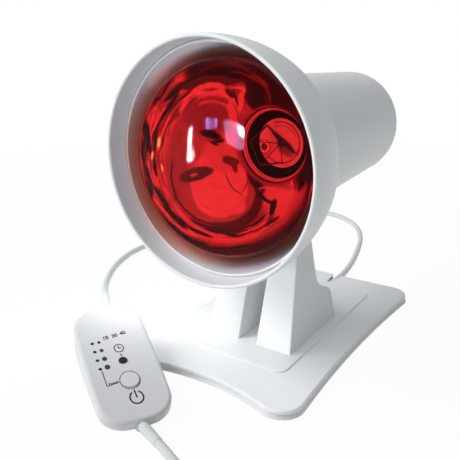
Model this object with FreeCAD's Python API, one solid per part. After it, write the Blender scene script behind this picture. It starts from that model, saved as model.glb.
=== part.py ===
import FreeCAD, Part

import math
import os

from FreeCAD import Placement, Rotation, Vector

# An infrared heat therapy lamp in millimetres. The table is the plane z = 0, the origin is on it
# under the centre of the base, +X is the lamp's left-to-right, and the beam points along -Y.

X_AXIS = Vector(1, 0, 0)
Y_AXIS = Vector(0, 1, 0)
Z_AXIS = Vector(0, 0, 1)

# Clearances
THREAD_FIT = 0.02      # between a screw and the hole that its thread is cut in
SCREW_PLAY = 0.25      # around a screw in a through hole
SEAT_GAP = 0.05        # between faces that are screwed or pushed together
RUNNING_FIT = 0.06     # around the pivot bolt
BUTTON_PLAY = 0.35     # around a push button

# Base: two thin mouldings on four rubber feet, with a steel plate between them
BASE_WIDTH = 144.4
BASE_DEPTH = 230.6
BASE_BOWS = (18.0, 6.1, 2.3, 6.1)   # how far the front, right, rear and left sides curve in
BASE_CORNER_R = 15.2
COVER_HEIGHT = 3.4
COVER_FLARE = 0.8      # how far the bottom cover spreads past the outline at its foot
COVER_INSET = 1.2      # how far it is drawn in where it meets the top shell
COVER_FLOOR = 1.4
SHELL_HEIGHT = 2.6
SHELL_SKIN = 1.8
SHELL_EDGE_R = 1.1
BASE_WALL = 2.2
PLATFORM_WIDTH = 86.3
PLATFORM_DEPTH = 156.2
PLATFORM_Y = 9.3
PLATFORM_CORNER_R = 7.4
PLATFORM_RAISE = 1.0
PLATFORM_EDGE_R = 0.8
BALLAST_THICK = 1.8
BALLAST_GAP = 1.4
FOOT_R = 6.8
FOOT_PROUD = 1.2
FOOT_SUNK = 0.6
FOOT_EDGE_R = 0.4
FOOT_INSET = (22.2, 27.3)           # from the base's sides and ends to the feet's centres
COVER_SCREW_SPOTS = ((0.0, -58.0), (-36.0, 60.0), (36.0, 60.0), (-36.0, -50.0), (36.0, -50.0))
BOSS_R = 4.2
COVER_PAD_WALL = 1.6   # plastic round a cover screw's counterbore

# Cord notch in the rear edge of the base
NOTCH_X = 1.7
NOTCH_DEPTH = 21.8     # from the middle of the base's rear side to the apex
NOTCH_APEX_R = 1.4
NOTCH_MOUTH = 9.4
NOTCH_CORNER_R = 3.0
GROOVE_WIDTH = 7.2
GROOVE_LEAD = 1.0      # how far the groove starts before the bush
GROOVE_SKIN = 1.0

# The pair of posts that carry the head
POST_GAP = 15.0
POST_WIDTH = 28.4
POST_TAPER = 6.23      # degrees that the outer face leans inwards
POST_LEAN = 16.28      # degrees that the front face leans back
POST_WALL = 2.4
POST_EDGE_R = 1.0
POST_TOP_R = 10.2
POST_FOOT_Y = 31.5
POST_SHOULDER = (25.5, 34.0)
POST_SHOULDER_R = 12.0
POST_WAIST = (3.5, 44.5)
POST_WAIST_R = 15.0
POST_BOSS_R = 3.6
POST_BOSS_HEIGHT = 16.0
POST_RIB = 1.6
POST_SCREW_SPOTS = ((16.5, -30.0), (24.5, -30.0), (20.5, 18.0))

# Tilt pivot
PIVOT_Y = -12.4
PIVOT_Z = 84.0
PIVOT_TUBE_R = 6.2
BOLT_R = 3.0
BOLT_HEAD_R = 5.0
BOLT_HEAD_HEIGHT = 4.0
BOLT_KEY = (5.0, 2.5)  # the hexagon socket's flats and depth
BOLT_ROOM = 1.0        # between the bolt's head and its cap
BOLT_TUBE_WALL = 1.6   # added round the bolt's head in the left post
NUT_FLATS = 10.0
NUT_HEIGHT = 5.0
NUT_COVER = 3.0        # plastic left between the nut's pocket and the outer face
CAP_R = 6.4
CAP_THICK = 1.4
WASHER_R = 8.5
WASHER_THICK = 1.0
LUG_R = 9.5
LUG_PLAY = 0.05        # on each side of the lug
LUG_SADDLE_WIDTH = 26.0
LUG_SADDLE_LENGTH = 37.0
LUG_SADDLE_THICK = 3.4
LUG_SADDLE_R = 6.0
LUG_SADDLE_RISE = 6.0  # how far its ends reach up beside the housing
LUG_WEB = (3.0, 8.0)   # how far the web starts inside the saddle's ends, and its height
LUG_SCREW_REACH = 13.5
LUG_PAD_RISE = 1.6     # of the screws' pads above the housing's inner wall
LUG_PAD_WALL = 1.2
LUG_WIRE_R = 2.6
LUG_WIRE_START = 4.0   # above the lug's eye

# Head: everything on it is turned about one axis along Y, and depths run back from the lip
HEAD_Z = 149.6
LIP_Y = -100.0
LIP_R = 76.5
LIP_WIDTH = 2.5
BOWL_DEPTH = 58.0
BOWL_WALL = 2.2
BOWL_POWER = 2.2       # how full the bowl's side is; 2 is an ellipse
COLLAR_LENGTH = 10.0
COLLAR_WALL = 2.7
LINER_THICK = 0.8
LINER_GAP = 0.25
LINER_FRONT = 14.9
LINER_BEAD_R = 1.0
LINER_REAR = 2.0       # from the housing's bore to the liner's rear edge
HOUSING_FRONT_R = 49.8
HOUSING_REAR_R = 43.3
HOUSING_REAR = 227.8
HOUSING_WALL = 2.2
HOUSING_EDGE_R = 11.4
HOUSING_OVERLAP = 1.6  # how far the housing reaches into the bowl's back
VENT_WIDTH = 3.2
VENT_PITCH = 8.0
VENT_ROWS = 7
VENT_FIELD_R = 29.0

# Bulb: a blown reflector bulb, 125 mm across, on a 27 mm screw cap
BULB_R = 62.5
BULB_EQUATOR = 24.5
BULB_DOME = 31.0
BULB_POWER = 2.4
BULB_GLASS = 1.0
NECK_STEPS = ((34.0, 61.2), (44.5, 55.3), (54.0, 47.5), (64.5, 40.2), (84.5, 28.8), (93.0, 24.4),
              (105.0, 21.6), (122.0, 18.4), (136.0, 15.6), (142.0, 13.4), (147.0, 10.8))
CAP_THREAD_R = 13.2
CAP_THREAD_DEPTH = 0.7
CAP_SKIN = 0.4
CAP_RING_R = 1.3
CAP_PLAIN = (5.0, 1.0)       # plain lengths before and after the thread's rings
CAP_COLLAR = ((1.0, 12.1), (-6.0, 16.6))    # (depth past the cap's front, radius) inside the collar
CAP_FRONT = 145.0
CAP_REAR = 168.0
CAP_RINGS = 5
CONTACT_GLASS = (11.7, 6.0, 3.2)            # radii and length of the insulator behind the cap
CONTACT_BUTTON = (4.6, 1.2)
STEM_STEPS = ((146.0, 9.5), (136.0, 4.6), (112.0, 3.6), (98.0, 3.2), (95.0, 0.0))
HEAT_DISC_R = 18.0
HEAT_DISC_BORE_R = 3.3
HEAT_DISC_THICK = 0.5
HEAT_DISC_DEPTH = 98.0
FILAMENT_DEPTH = 80.0
FILAMENT_SPREAD = 15.0
FILAMENT_POSTS = 5
FILAMENT_START = 20.0        # degrees
FILAMENT_STEP = 75.0         # degrees from one support to the next
FILAMENT_R = 0.6
FILAMENT_BEAD_R = 0.7
WIRE_R = 0.3
WIRE_HUB_DEPTH = 97.0
WIRE_GAPS = (1.55, 0.9)      # from the hub to a wire, and from a wire to the filament's bead

# Lampholder
HOLDER_R = 22.0
HOLDER_FRONT = 141.0
HOLDER_REAR = 186.0
HOLDER_BORE_R = 15.2
HOLDER_SHELL_THICK = 0.6
HOLDER_EDGE_R = 1.5
HOLDER_MOUTH = (18.2, 4.0, 6.0)             # radius of the mouth, and where its cone starts and ends
HOLDER_FLOOR = 9.0
HOLDER_SCREW_X = 16.0
TONGUE_WIDTH = 6.0
TONGUE_THICK = 0.6
TONGUE_SPAN = (4.0, -8.0, -12.0)            # heights of its tip, its bend and its foot's end
BRACKET_THICK = 1.5
BRACKET_WIDTH = 24.0
BRACKET_FOOT = 12.0
BRACKET_PAD_RISE = 5.0
BRACKET_PAD_DEPTH = 9.0
SHIELD_DEPTH = 118.0
SHIELD_THICK = 0.8
SHIELD_BORE_R = 26.0
SHIELD_SKIRT = 8.0
SHIELD_GATE = (10.0, 8.0)    # half the width and the height of the wires' way through its rim

# Handset: a wedge that lies with its lower end on the table and leans on the base's front corner
HANDSET_WIDTH = 47.6
HANDSET_LENGTH = 101.0
HANDSET_SIDE_BULGE = 1.2
HANDSET_END_BULGE = 4.0
HANDSET_CORNER_R = 17.0
HANDSET_TOP_DEPTH = 6.0
HANDSET_WALL = 1.8
HANDSET_EDGE_R = 2.4
HANDSET_BACK_R = 5.5
HANDSET_LOW_END = 9.4        # thickness at the lower end
HANDSET_WEDGE = 12.0         # degrees between the face and the back
HANDSET_HUMP_Y = 38.0
HANDSET_TAIL_Y = 56.0
HANDSET_TAIL_DEPTH = 13.0
HANDSET_HUMP_R = 14.0
HANDSET_REACH = 70.0         # further than the handset in any direction
HANDSET_BACK_START = 0.5     # below the seam, where its back's rounded edges start
HANDSET_CENTRE = (-41.4, -134.1)
HANDSET_HEADING = 148.1      # degrees from +X to the handset's upper end, seen from above
HANDSET_SPAN = 67.1          # along its back from the table to the corner of the base that it leans on
POWER_BUTTON = (1.0, -19.1)
POWER_BUTTON_R = 6.0
TIMER_BUTTON = (1.0, -2.2)
TIMER_BUTTON_R = 2.6
BUTTON_PROUD = 0.8
BUTTON_TRAVEL = 0.8
BUTTON_FLANGE = 1.2
BUTTON_FLANGE_THICK = 0.8
PLUNGER_R = 1.4
SWITCH_GAP = 0.1             # between a pressed button's plunger and its switch
BUTTON_EDGE_R = 0.5
SWITCH_SIDE = 6.0
SWITCH_HEIGHT = 1.1
SWITCH_STEM = (1.7, 0.5)
LED_R = 1.15
LED_EDGE_R = 0.3
LED_SPOTS = ((-14.6, 17.4), (-14.6, 9.8), (-14.6, 2.1), (-14.5, -5.4))
BOARD_THICK = 1.6
BOARD_GAP = 0.6
BOARD_END = 43.0
HANDSET_SCREW_X = 15.6
HANDSET_SCREW_Y = 35.0
RELAY = ((-9.0, 8.0), (9.0, 23.0), 9.5)     # corners on the board and height
FILM_BLOCK = ((-2.0, -14.0), (11.0, -7.0), 4.5)
CAPACITOR = ((-7.0, -8.0), 3.2, 5.0)         # centre, radius and height
SCREW_BOSS_R = 3.0
TOWER_R = 4.2
TOWER_SEAT = 2.9             # plastic between the screw's head and the board

# Screws: head radius, head height, shaft radius, length under the head
HOLE_RUNOUT = 0.6      # how far a screw's hole goes past its tip
SMALL_SCREW = (2.6, 1.4, 1.3, 7.6)
COVER_SCREW = (2.8, 1.4, 1.45, 4.2)
POST_SCREW = (3.0, 1.8, 1.45, 12.0)
COLLAR_SCREW = (2.6, 1.5, 1.3, 5.4)
LUG_SCREW = (3.4, 2.2, 1.9, 9.0)
BRACKET_SCREW = (2.8, 1.6, 1.4, 6.0)

# Cords
CORD_R = 2.8
CORD_Z = CORD_R + 0.05
LEAD_R = 1.0
LEAD_HOLE_R = 7.0
LEAD_BEND = 6.0
LEAD_SPREAD = 2.4      # half the distance between the two wires at their splices
LEAD_LIFT = 1.35       # of the wires' centres above the bottom cover's floor
LEAD_TOP_GAP = 20.0    # from the wires' upper ends to the pivot
SPLICE_R = 1.3
SPLICE_LENGTH = 13.9
SPLICE_GAP = 0.1
HEAD_LEAD_EXIT = (8.0, -6.0)                # sideways and up from the head's axis
HEAD_LEAD_BEND = ((8.0, 6.0, -6.0), (9.0, 12.0, -14.0), (9.0, 9.0, -26.0), (8.5, -3.0, -35.0),
                  (8.0, -20.0, -39.0), (7.5, -42.0, -41.0), (7.0, -60.0, -42.0))
HEAD_LEAD_DROP = ((6.6, 22.0, -43.0), (6.0, 13.0, -42.0), (3.4, 6.0, -38.5), (1.3, 0.6, -39.5),
                  (1.25, 0.0, -45.0))
HEAD_LEAD_END = (1.2, 4.3)                  # sideways from the middle, and above the lug's eye
BUSH_INSET = 34.3      # from the middle of the base's rear side to the bush's front
BUSH_WIDTH = 10.0
BUSH_EDGE_R = 1.5
BUSH_LENGTH = 9.0
BUSH_ROOT = 1.0        # how far the tail's root is inside the bush's body
BUSH_TAIL_LENGTH = 19.0
BUSH_TAIL_R = (3.0, 2.9)
BUSH_TAIL_Z = 3.15
RELIEF_NECK = 6.0      # how far a relief's neck reaches in through the handset's wall
RELIEF_STEP = 0.8
RELIEF_SINK = 0.6      # how far a relief's root is inside the handset's end
RELIEF_TAIL = 1.5      # how far its outer part reaches back to be cut by the wall
RELIEF_DROOP = 0.03    # fall of the upper relief over its length
RELIEF_RINGS = 4
RELIEF_GROOVE = (0.8, 0.35)                 # width and depth
RELIEF_COLLAR = (0.5, 2.0)                  # how far it stands out, and its length
RELIEF_HEAD = (0.3, 1.4)
RELIEF_LENGTH = 22.0
RELIEF_R = (3.8, 3.0)
MAINS_RELIEF_LENGTH = 20.0
MAINS_RELIEF_R = (3.7, 3.0)
LAMP_RELIEF_ROOT = (2.0, -14.0)      # sideways and along the normal, at the upper end
LAMP_RELIEF_HEADING = 134.0
MAINS_RELIEF_ROOT = (0.0, -5.4)
MAINS_RELIEF_HEADING = -20.5
COIL_CENTRE = (77.0, -223.0)
COIL_R = 33.3
COIL_WIDTH = 22.8      # four turns side by side
COIL_HEIGHT = 11.4     # two layers
COIL_EDGE_R = 2.6
TIE_FOOT = 0.6         # from the table to the tie's ends
TIE_THICK = 0.8
TIE_WIDTH = 7.0
TIE_ANGLE = 200.0
PLUG_START = (150.0, -243.0, 5.0)
PLUG_HEADING = -22.0
PLUG_RELIEF_LENGTH = 26.0
PLUG_RELIEF_R = (5.4, 3.1)
PLUG_LENGTH = 35.0
PLUG_WIDTH = 35.3
PLUG_NOSE_WIDTH = 26.0
PLUG_THICK = 13.7
PLUG_TAIL_WIDTH = 18.0
PLUG_STEPS = (12.0, 22.0)                   # where it is as wide as its nose, and widest
PLUG_CORNER_R = 2.5
PLUG_EDGE_R = 2.0
PIN_TIP_R = 0.8
PLUG_PIN_R = 2.0
PLUG_PIN_LENGTH = 19.0
PLUG_PIN_SPREAD = 9.3

# Derived heights of the base
COVER_BOTTOM = FOOT_PROUD
COVER_TOP = COVER_BOTTOM + COVER_HEIGHT
PLATE_TOP = COVER_TOP + SHELL_HEIGHT
PLATFORM_TOP = PLATE_TOP + PLATFORM_RAISE
FLOOR_TOP = COVER_BOTTOM + COVER_FLOOR
SKIN_UNDER = PLATE_TOP - SHELL_SKIN
BASE_RIM = COVER_INSET + BASE_WALL
BASE_REAR = BASE_DEPTH / 2
NOTCH_APEX_Y = BASE_REAR - NOTCH_DEPTH
BUSH_START_Y = BASE_REAR - BUSH_INSET
FOOT_X = BASE_WIDTH / 2 - FOOT_INSET[0]
FOOT_Y = BASE_REAR - FOOT_INSET[1]
LEAD_Z = FLOOR_TOP + LEAD_LIFT
COVER_PAD_R = COVER_SCREW[0] + COVER_PAD_WALL

# Derived places on the head
BOWL_BORE_R = HOUSING_FRONT_R + 0.1
NECK_R = BOWL_BORE_R + COLLAR_WALL
PIVOT = Vector(0, PIVOT_Y, PIVOT_Z)
HEAD_CENTRE = Vector(0, LIP_Y, HEAD_Z)

# Derived places of the handset
BACK_SLOPE = math.tan(math.radians(HANDSET_WEDGE))
HANDSET_LEAN = math.degrees(math.asin(PLATE_TOP / HANDSET_SPAN))
HANDSET_TILT = HANDSET_WEDGE + HANDSET_LEAN
BOARD_TOP = -HANDSET_TOP_DEPTH
BOARD_UNDER = BOARD_TOP - BOARD_THICK


def handset_back(y):
    """Depth of the handset's flat back, seen along its own Y."""
    return -HANDSET_LOW_END - (y + HANDSET_LENGTH / 2) * BACK_SLOPE


def handset_placement():
    """The handset's own axes: X across, Y to its upper end, Z out of its face. The rounded heel of
    its back rests on the table."""
    tilt = math.radians(HANDSET_TILT)
    heel_y = HANDSET_BACK_R - HANDSET_LENGTH / 2
    heel_z = handset_back(heel_y) + HANDSET_BACK_R / math.cos(math.radians(HANDSET_WEDGE))
    height = HANDSET_BACK_R + SEAT_GAP - heel_y * math.sin(tilt) - heel_z * math.cos(tilt)
    turn = Rotation(Z_AXIS, HANDSET_HEADING - 90) * Rotation(X_AXIS, HANDSET_TILT)
    return Placement(Vector(*HANDSET_CENTRE, height), turn)


HANDSET_PLACE = handset_placement()


def solid_box(low, high):
    """Box between two opposite corners."""
    size = Vector(*high) - Vector(*low)
    return Part.makeBox(size.x, size.y, size.z, Vector(*low))


def rounded_box(low, high, radius):
    """Box whose upright edges are rounded."""
    box = solid_box(low, high)
    upright = [e for e in box.Edges if abs(e.tangentAt(e.FirstParameter).z) > 0.9]
    return box.makeFillet(radius, upright)


def edges_at(shape, z):
    """Edges that lie wholly in the level plane at z."""
    return [e for e in shape.Edges if abs(e.BoundBox.ZMin - z) < 1e-4 and abs(e.BoundBox.ZMax - z) < 1e-4]


def facing(shape, origin, direction):
    """Moves a shape made along +Z so that it stands at origin and points along direction."""
    shape.Placement = Placement(origin, Rotation(Z_AXIS, direction)).multiply(shape.Placement)
    return shape


def corner_centre(first, first_r, second, second_r, near):
    """Where two circles cross, on the side nearest to a given point."""
    across = second - first
    gap = across.Length
    along = (first_r ** 2 - second_r ** 2 + gap ** 2) / (2 * gap)
    aside = math.sqrt(first_r ** 2 - along ** 2)
    foot = first + across * (along / gap)
    normal = Vector(-across.y, across.x, 0) * (aside / gap)
    return min((foot + normal, foot - normal), key=lambda p: p.distanceToPoint(near))


def bowed_wire(width, depth, bows, corner_r, grow=0.0, z=0.0):
    """Outline of a rectangle with shallow curved sides and round corners, grown outwards by grow.
    bows are the front, right, rear and left sides, positive where a side curves in."""
    outward = (Vector(0, -1, 0), Vector(1, 0, 0), Vector(0, 1, 0), Vector(-1, 0, 0))
    reach = (depth / 2, width / 2, depth / 2, width / 2)
    radii = [(reach[k - 1] ** 2 + bows[k] ** 2) / (2 * bows[k]) for k in range(4)]
    centres = [outward[k] * (reach[k] - bows[k] + radii[k]) for k in range(4)]
    corners = []
    for k in range(4):
        n = (k + 1) % 4
        near = outward[k] * reach[k] + outward[n] * reach[n]
        corners.append(corner_centre(centres[k], abs(radii[k] + corner_r),
                                     centres[n], abs(radii[n] + corner_r), near))

    def touch(k, corner):
        toward = (centres[k] - corner).normalize() * math.copysign(1, radii[k])
        return corner + toward * (corner_r + grow)

    edges = []
    for k in range(4):
        n = (k + 1) % 4
        start = touch(k, corners[k - 1])
        end = touch(k, corners[k])
        middle = outward[k] * (reach[k] - bows[k] + grow)
        edges.append(Part.Arc(start, middle, end).toShape())
        onward = touch(n, corners[k])
        bulge = (end + onward) * 0.5 - corners[k]
        peak = corners[k] + bulge.normalize() * (corner_r + grow)
        edges.append(Part.Arc(end, peak, onward).toShape())
    wire = Part.Wire(edges)
    wire.translate(Vector(0, 0, z))
    return wire


def prism(wire, height):
    """Solid between a level wire and the same wire height above it."""
    return Part.Face(wire).extrude(Vector(0, 0, height))


def rounded_polygon(corners):
    """Closed wire through corners given as (point, radius), with an arc at each non-zero radius."""
    points = [c[0] for c in corners]
    ends = []
    for k, (point, radius) in enumerate(corners):
        back = (points[k - 1] - point).normalize()
        ahead = (points[(k + 1) % len(points)] - point).normalize()
        if radius == 0:
            ends.append((point, None, point))
            continue
        half = back.getAngle(ahead) / 2
        trim = radius / math.tan(half)
        bisector = (back + ahead).normalize()
        peak = point + bisector * (radius / math.sin(half) - radius)
        ends.append((point + back * trim, peak, point + ahead * trim))
    edges = []
    for k, (start, peak, end) in enumerate(ends):
        if peak is not None:
            edges.append(Part.Arc(start, peak, end).toShape())
        edges.append(Part.LineSegment(end, ends[(k + 1) % len(ends)][0]).toShape())
    return Part.Wire(edges)


def on_head(depth, radius):
    """Point above the head's axis, at a depth behind the lip and a distance from the axis."""
    return HEAD_CENTRE + Vector(0, depth, radius)


def turned(edges):
    """Solid that a closed profile sweeps about the head's axis."""
    return Part.Face(Part.Wire(edges)).revolve(HEAD_CENTRE, Y_AXIS, 360)


def head_line(start, end):
    """Straight edge between two (depth, radius) points of a head profile."""
    return Part.LineSegment(on_head(*start), on_head(*end)).toShape()


def head_polygon(points):
    """Solid turned from a polygon of (depth, radius) points."""
    return turned([head_line(points[k - 1], points[k]) for k in range(len(points))])


def head_spline(points):
    """Smooth edge through (depth, radius) points."""
    curve = Part.BSplineCurve()
    curve.interpolate([on_head(*p) for p in points])
    return curve.toShape()


def head_tube(depth, radius, length):
    """Cylinder on the head's axis."""
    return Part.makeCylinder(radius, length, on_head(depth, 0), Y_AXIS)


def screw(seat, direction, size):
    """Cross-recess screw whose head bears at seat and whose shaft runs along direction."""
    head_r, head_height, shaft_r, length = size
    head = Part.makeCylinder(head_r, head_height, Vector(0, 0, -head_height))
    head = head.makeFillet(head_height * 0.4, edges_at(head, -head_height))
    slot = solid_box((-head_r * 0.6, -0.35, -head_height - 1), (head_r * 0.6, 0.35, -head_height * 0.45))
    cross = slot.fuse(slot.rotated(Vector(), Z_AXIS, 90))
    body = head.cut(cross).fuse(Part.makeCylinder(shaft_r, length))
    return facing(body.removeSplitter(), seat, direction)


def screw_hole(seat, direction, size, play):
    """Round hole along a screw's shaft."""
    hole = Part.makeCylinder(size[2] + play, size[3] + HOLE_RUNOUT)
    return facing(hole, seat, direction)


def cone_between(start, end, radii):
    """Tapered round bar from start to end."""
    axis = end - start
    if radii[0] == radii[1]:
        return facing(Part.makeCylinder(radii[0], axis.Length), start, axis)
    return facing(Part.makeCone(radii[0], radii[1], axis.Length), start, axis)


def plain_relief(root, tip, radii):
    """Tapered strain relief with a collar at its root."""
    collar = Part.makeCylinder(radii[0] + RELIEF_COLLAR[0], RELIEF_COLLAR[1])
    return cone_between(root, tip, radii).fuse(facing(collar, root, tip - root))


def ribbed_relief(root, tip, radii):
    """Tapered strain relief with shallow grooves round it."""
    axis = tip - root
    body = plain_relief(root, tip, radii)
    width, depth = RELIEF_GROOVE
    for k in range(RELIEF_RINGS):
        share = 0.25 + 0.6 * k / RELIEF_RINGS
        centre = root + axis * share
        outer = radii[0] + (radii[1] - radii[0]) * share
        ring = Part.makeCylinder(2 * outer, width).cut(Part.makeCylinder(outer - depth, width))
        body = body.cut(facing(ring, centre, axis))
    return body.removeSplitter()


def cord_tube(name, points, radius):
    """Round cord along straight runs joined by arcs as large as the runs allow."""
    points = [Vector(*p) for p in points]
    edges = []
    radii = []
    here = points[0]
    for before, corner, after in zip(points, points[1:], points[2:]):
        back = before - corner
        ahead = after - corner
        turn = math.pi - back.getAngle(ahead)
        trim = 0.45 * min(back.Length, ahead.Length)
        bend = trim / math.tan(turn / 2)
        back.normalize()
        ahead.normalize()
        inward = (back + ahead).normalize()
        peak = corner + inward * (math.hypot(trim, bend) - bend)
        start = corner + back * trim
        end = corner + ahead * trim
        edges.append(Part.LineSegment(here, start).toShape())
        edges.append(Part.Arc(start, peak, end).toShape())
        radii.append(bend)
        here = end
    edges.append(Part.LineSegment(here, points[-1]).toShape())
    path = Part.Wire(edges)
    section = Part.Wire(Part.Circle(points[0], points[1] - points[0], radius).toShape())
    tube = path.makePipeShell([section], True, False)
    expected = math.pi * radius ** 2 * path.Length
    print(f"{name}: {path.Length:.1f} mm long, volume {tube.Volume / expected:.4f} of section x length")
    print("  bend radii", " ".join(f"{r:.0f}" for r in radii))
    return tube


def on_handset(x, y, z):
    """World point of a point in the handset's own axes."""
    return HANDSET_PLACE.multVec(Vector(x, y, z))


def laid_out(shape):
    """Moves a shape made in the handset's own axes to where the handset lies."""
    shape.Placement = HANDSET_PLACE.multiply(shape.Placement)
    return shape


def save(name, *shapes):
    """Writes one node as a STEP file."""
    solids = [s for shape in shapes for s in shape.Solids]
    shape = solids[0] if len(solids) == 1 else Part.makeCompound(solids)
    shape.exportStep(f"parts/{name}.step")
    box = shape.BoundBox
    print(f"{name}: {len(solids)} solid, {box.XLength:.1f} x {box.YLength:.1f} x {box.ZLength:.1f},",
          "valid" if all(s.isValid() for s in solids) else "NOT VALID")


# Base

def base_wire(grow, z):
    """Outline of the base grown outwards by grow."""
    return bowed_wire(BASE_WIDTH, BASE_DEPTH, BASE_BOWS, BASE_CORNER_R, grow, z)


def notch_cut(low, high):
    """Tapered cord notch, between two heights."""
    rear = BASE_DEPTH
    half = NOTCH_MOUTH / 2
    spread = (half - NOTCH_APEX_R) * (rear - NOTCH_APEX_Y) / (BASE_REAR - NOTCH_APEX_Y)
    half = NOTCH_APEX_R + spread
    corners = [(Vector(NOTCH_X - half, rear, low), 0),
               (Vector(NOTCH_X - NOTCH_APEX_R, NOTCH_APEX_Y, low), NOTCH_APEX_R * 0.9),
               (Vector(NOTCH_X + NOTCH_APEX_R, NOTCH_APEX_Y, low), NOTCH_APEX_R * 0.9),
               (Vector(NOTCH_X + half, rear, low), 0)]
    return prism(rounded_polygon(corners), high - low)


def groove_cut(low, high):
    """Straight channel that the cord and its bush lie in."""
    half = GROOVE_WIDTH / 2
    return solid_box((NOTCH_X - half, BUSH_START_Y - GROOVE_LEAD, low), (NOTCH_X + half, BASE_DEPTH, high))


def post_screw_seats():
    """Where the screws into both posts bear, under the base's skin."""
    return [Vector(side * x, y, SKIN_UNDER) for side in (-1, 1) for x, y in POST_SCREW_SPOTS]


def bush_pocket():
    """Room for the cord bush, under the base's skin."""
    half = BUSH_WIDTH / 2 + SEAT_GAP
    end = BUSH_START_Y + BUSH_LENGTH + SEAT_GAP
    return solid_box((NOTCH_X - half, BUSH_START_Y - SEAT_GAP, FLOOR_TOP),
                     (NOTCH_X + half, end, PLATE_TOP - GROOVE_SKIN))


def make_top_shell():
    """Upper moulding of the base with its raised platform."""
    shell = prism(base_wire(0, COVER_TOP), SHELL_HEIGHT)
    shell = shell.cut(notch_cut(COVER_TOP - 1, PLATE_TOP + 1))
    mouth = [e for e in shell.Edges if e.BoundBox.ZLength > SHELL_HEIGHT * 0.9
             and abs(e.CenterOfMass.x - NOTCH_X) < NOTCH_MOUTH
             and e.CenterOfMass.y > NOTCH_APEX_Y + NOTCH_DEPTH / 2]
    shell = shell.makeFillet(NOTCH_CORNER_R, mouth)
    shell = shell.makeFillet(SHELL_EDGE_R, edges_at(shell, PLATE_TOP))
    half_x = PLATFORM_WIDTH / 2
    half_y = PLATFORM_DEPTH / 2
    platform = rounded_box((-half_x, PLATFORM_Y - half_y, SKIN_UNDER),
                           (half_x, PLATFORM_Y + half_y, PLATFORM_TOP), PLATFORM_CORNER_R)
    platform = platform.makeFillet(PLATFORM_EDGE_R, edges_at(platform, PLATFORM_TOP))
    cavity = prism(base_wire(-BASE_RIM, COVER_TOP - 1), SKIN_UNDER - COVER_TOP + 1)
    lip = prism(base_wire(0, COVER_TOP), SHELL_HEIGHT).cut(cavity)
    keep_round_notch = groove_cut(COVER_TOP - 1, PLATE_TOP).common(lip)
    shell = shell.cut(cavity.cut(keep_round_notch)).fuse(platform)
    for x, y in COVER_SCREW_SPOTS:
        low = FLOOR_TOP + COVER_SCREW[1] + SEAT_GAP
        shell = shell.fuse(Part.makeCylinder(BOSS_R, SKIN_UNDER - low, Vector(x, y, low)))
        shell = shell.cut(screw_hole(cover_screw_seat(x, y), Z_AXIS, COVER_SCREW, THREAD_FIT))
    for seat in post_screw_seats():
        shell = shell.cut(screw_hole(seat, Z_AXIS, POST_SCREW, SCREW_PLAY))
    shell = shell.cut(groove_cut(COVER_TOP - 1, PLATE_TOP - GROOVE_SKIN)).cut(bush_pocket())
    return shell.cut(wire_hole(SKIN_UNDER - 1, PLATFORM_TOP + 1)).removeSplitter()


def wire_hole(low, high):
    """Hole under the right post for the wires that go up to the head."""
    centre = Vector(POST_GAP / 2 + POST_WIDTH / 2 - LEAD_BEND / 3, PIVOT_Y, low)
    return Part.makeCylinder(LEAD_HOLE_R, high - low, centre)


def cover_screw_seat(x, y):
    """Bottom of the counterbore that hides a cover screw's head."""
    return Vector(x, y, COVER_BOTTOM + COVER_SCREW[1])


def make_bottom_cover():
    """Lower moulding: a shallow tray with a flared side."""
    foot = base_wire(COVER_FLARE, COVER_BOTTOM)
    head = base_wire(-COVER_INSET, COVER_TOP)
    tray = Part.makeLoft([foot, head], True, True)
    tray = tray.cut(prism(base_wire(-BASE_RIM, FLOOR_TOP), COVER_HEIGHT))
    for x, y in COVER_SCREW_SPOTS:
        tray = tray.fuse(Part.makeCylinder(COVER_PAD_R, COVER_SCREW[1], Vector(x, y, FLOOR_TOP)))
        head_room = Part.makeCylinder(COVER_SCREW[0] + SCREW_PLAY, COVER_SCREW[1], Vector(x, y, COVER_BOTTOM))
        tray = tray.cut(head_room)
        tray = tray.cut(screw_hole(cover_screw_seat(x, y), Z_AXIS, COVER_SCREW, SCREW_PLAY))
    for foot_recess in foot_solids(SEAT_GAP):
        tray = tray.cut(foot_recess)
    wall = prism(base_wire(COVER_FLARE, COVER_BOTTOM - 1), COVER_HEIGHT + 2)
    slot = groove_cut(COVER_BOTTOM - 1, COVER_TOP + 1).common(wall)
    tail_start = BUSH_START_Y + BUSH_LENGTH - BUSH_ROOT - SEAT_GAP
    behind_bush = solid_box((-BASE_WIDTH, tail_start, 0), (BASE_WIDTH, BASE_DEPTH, PLATE_TOP))
    tray = tray.cut(slot.common(behind_bush)).cut(notch_cut(COVER_BOTTOM - 1, COVER_TOP + 1))
    return tray.cut(bush_pocket()).removeSplitter()


def foot_solids(play=0.0):
    """Four rubber feet, each set a little into the bottom cover."""
    height = FOOT_PROUD + FOOT_SUNK
    feet = []
    for sx in (-1, 1):
        for sy in (-1, 1):
            feet.append(Part.makeCylinder(FOOT_R + play, height, Vector(sx * FOOT_X, sy * FOOT_Y, 0)))
    return feet


def make_feet():
    """The feet, with a rounded lower edge."""
    return [foot.makeFillet(FOOT_EDGE_R, edges_at(foot, 0)) for foot in foot_solids()]


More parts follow.
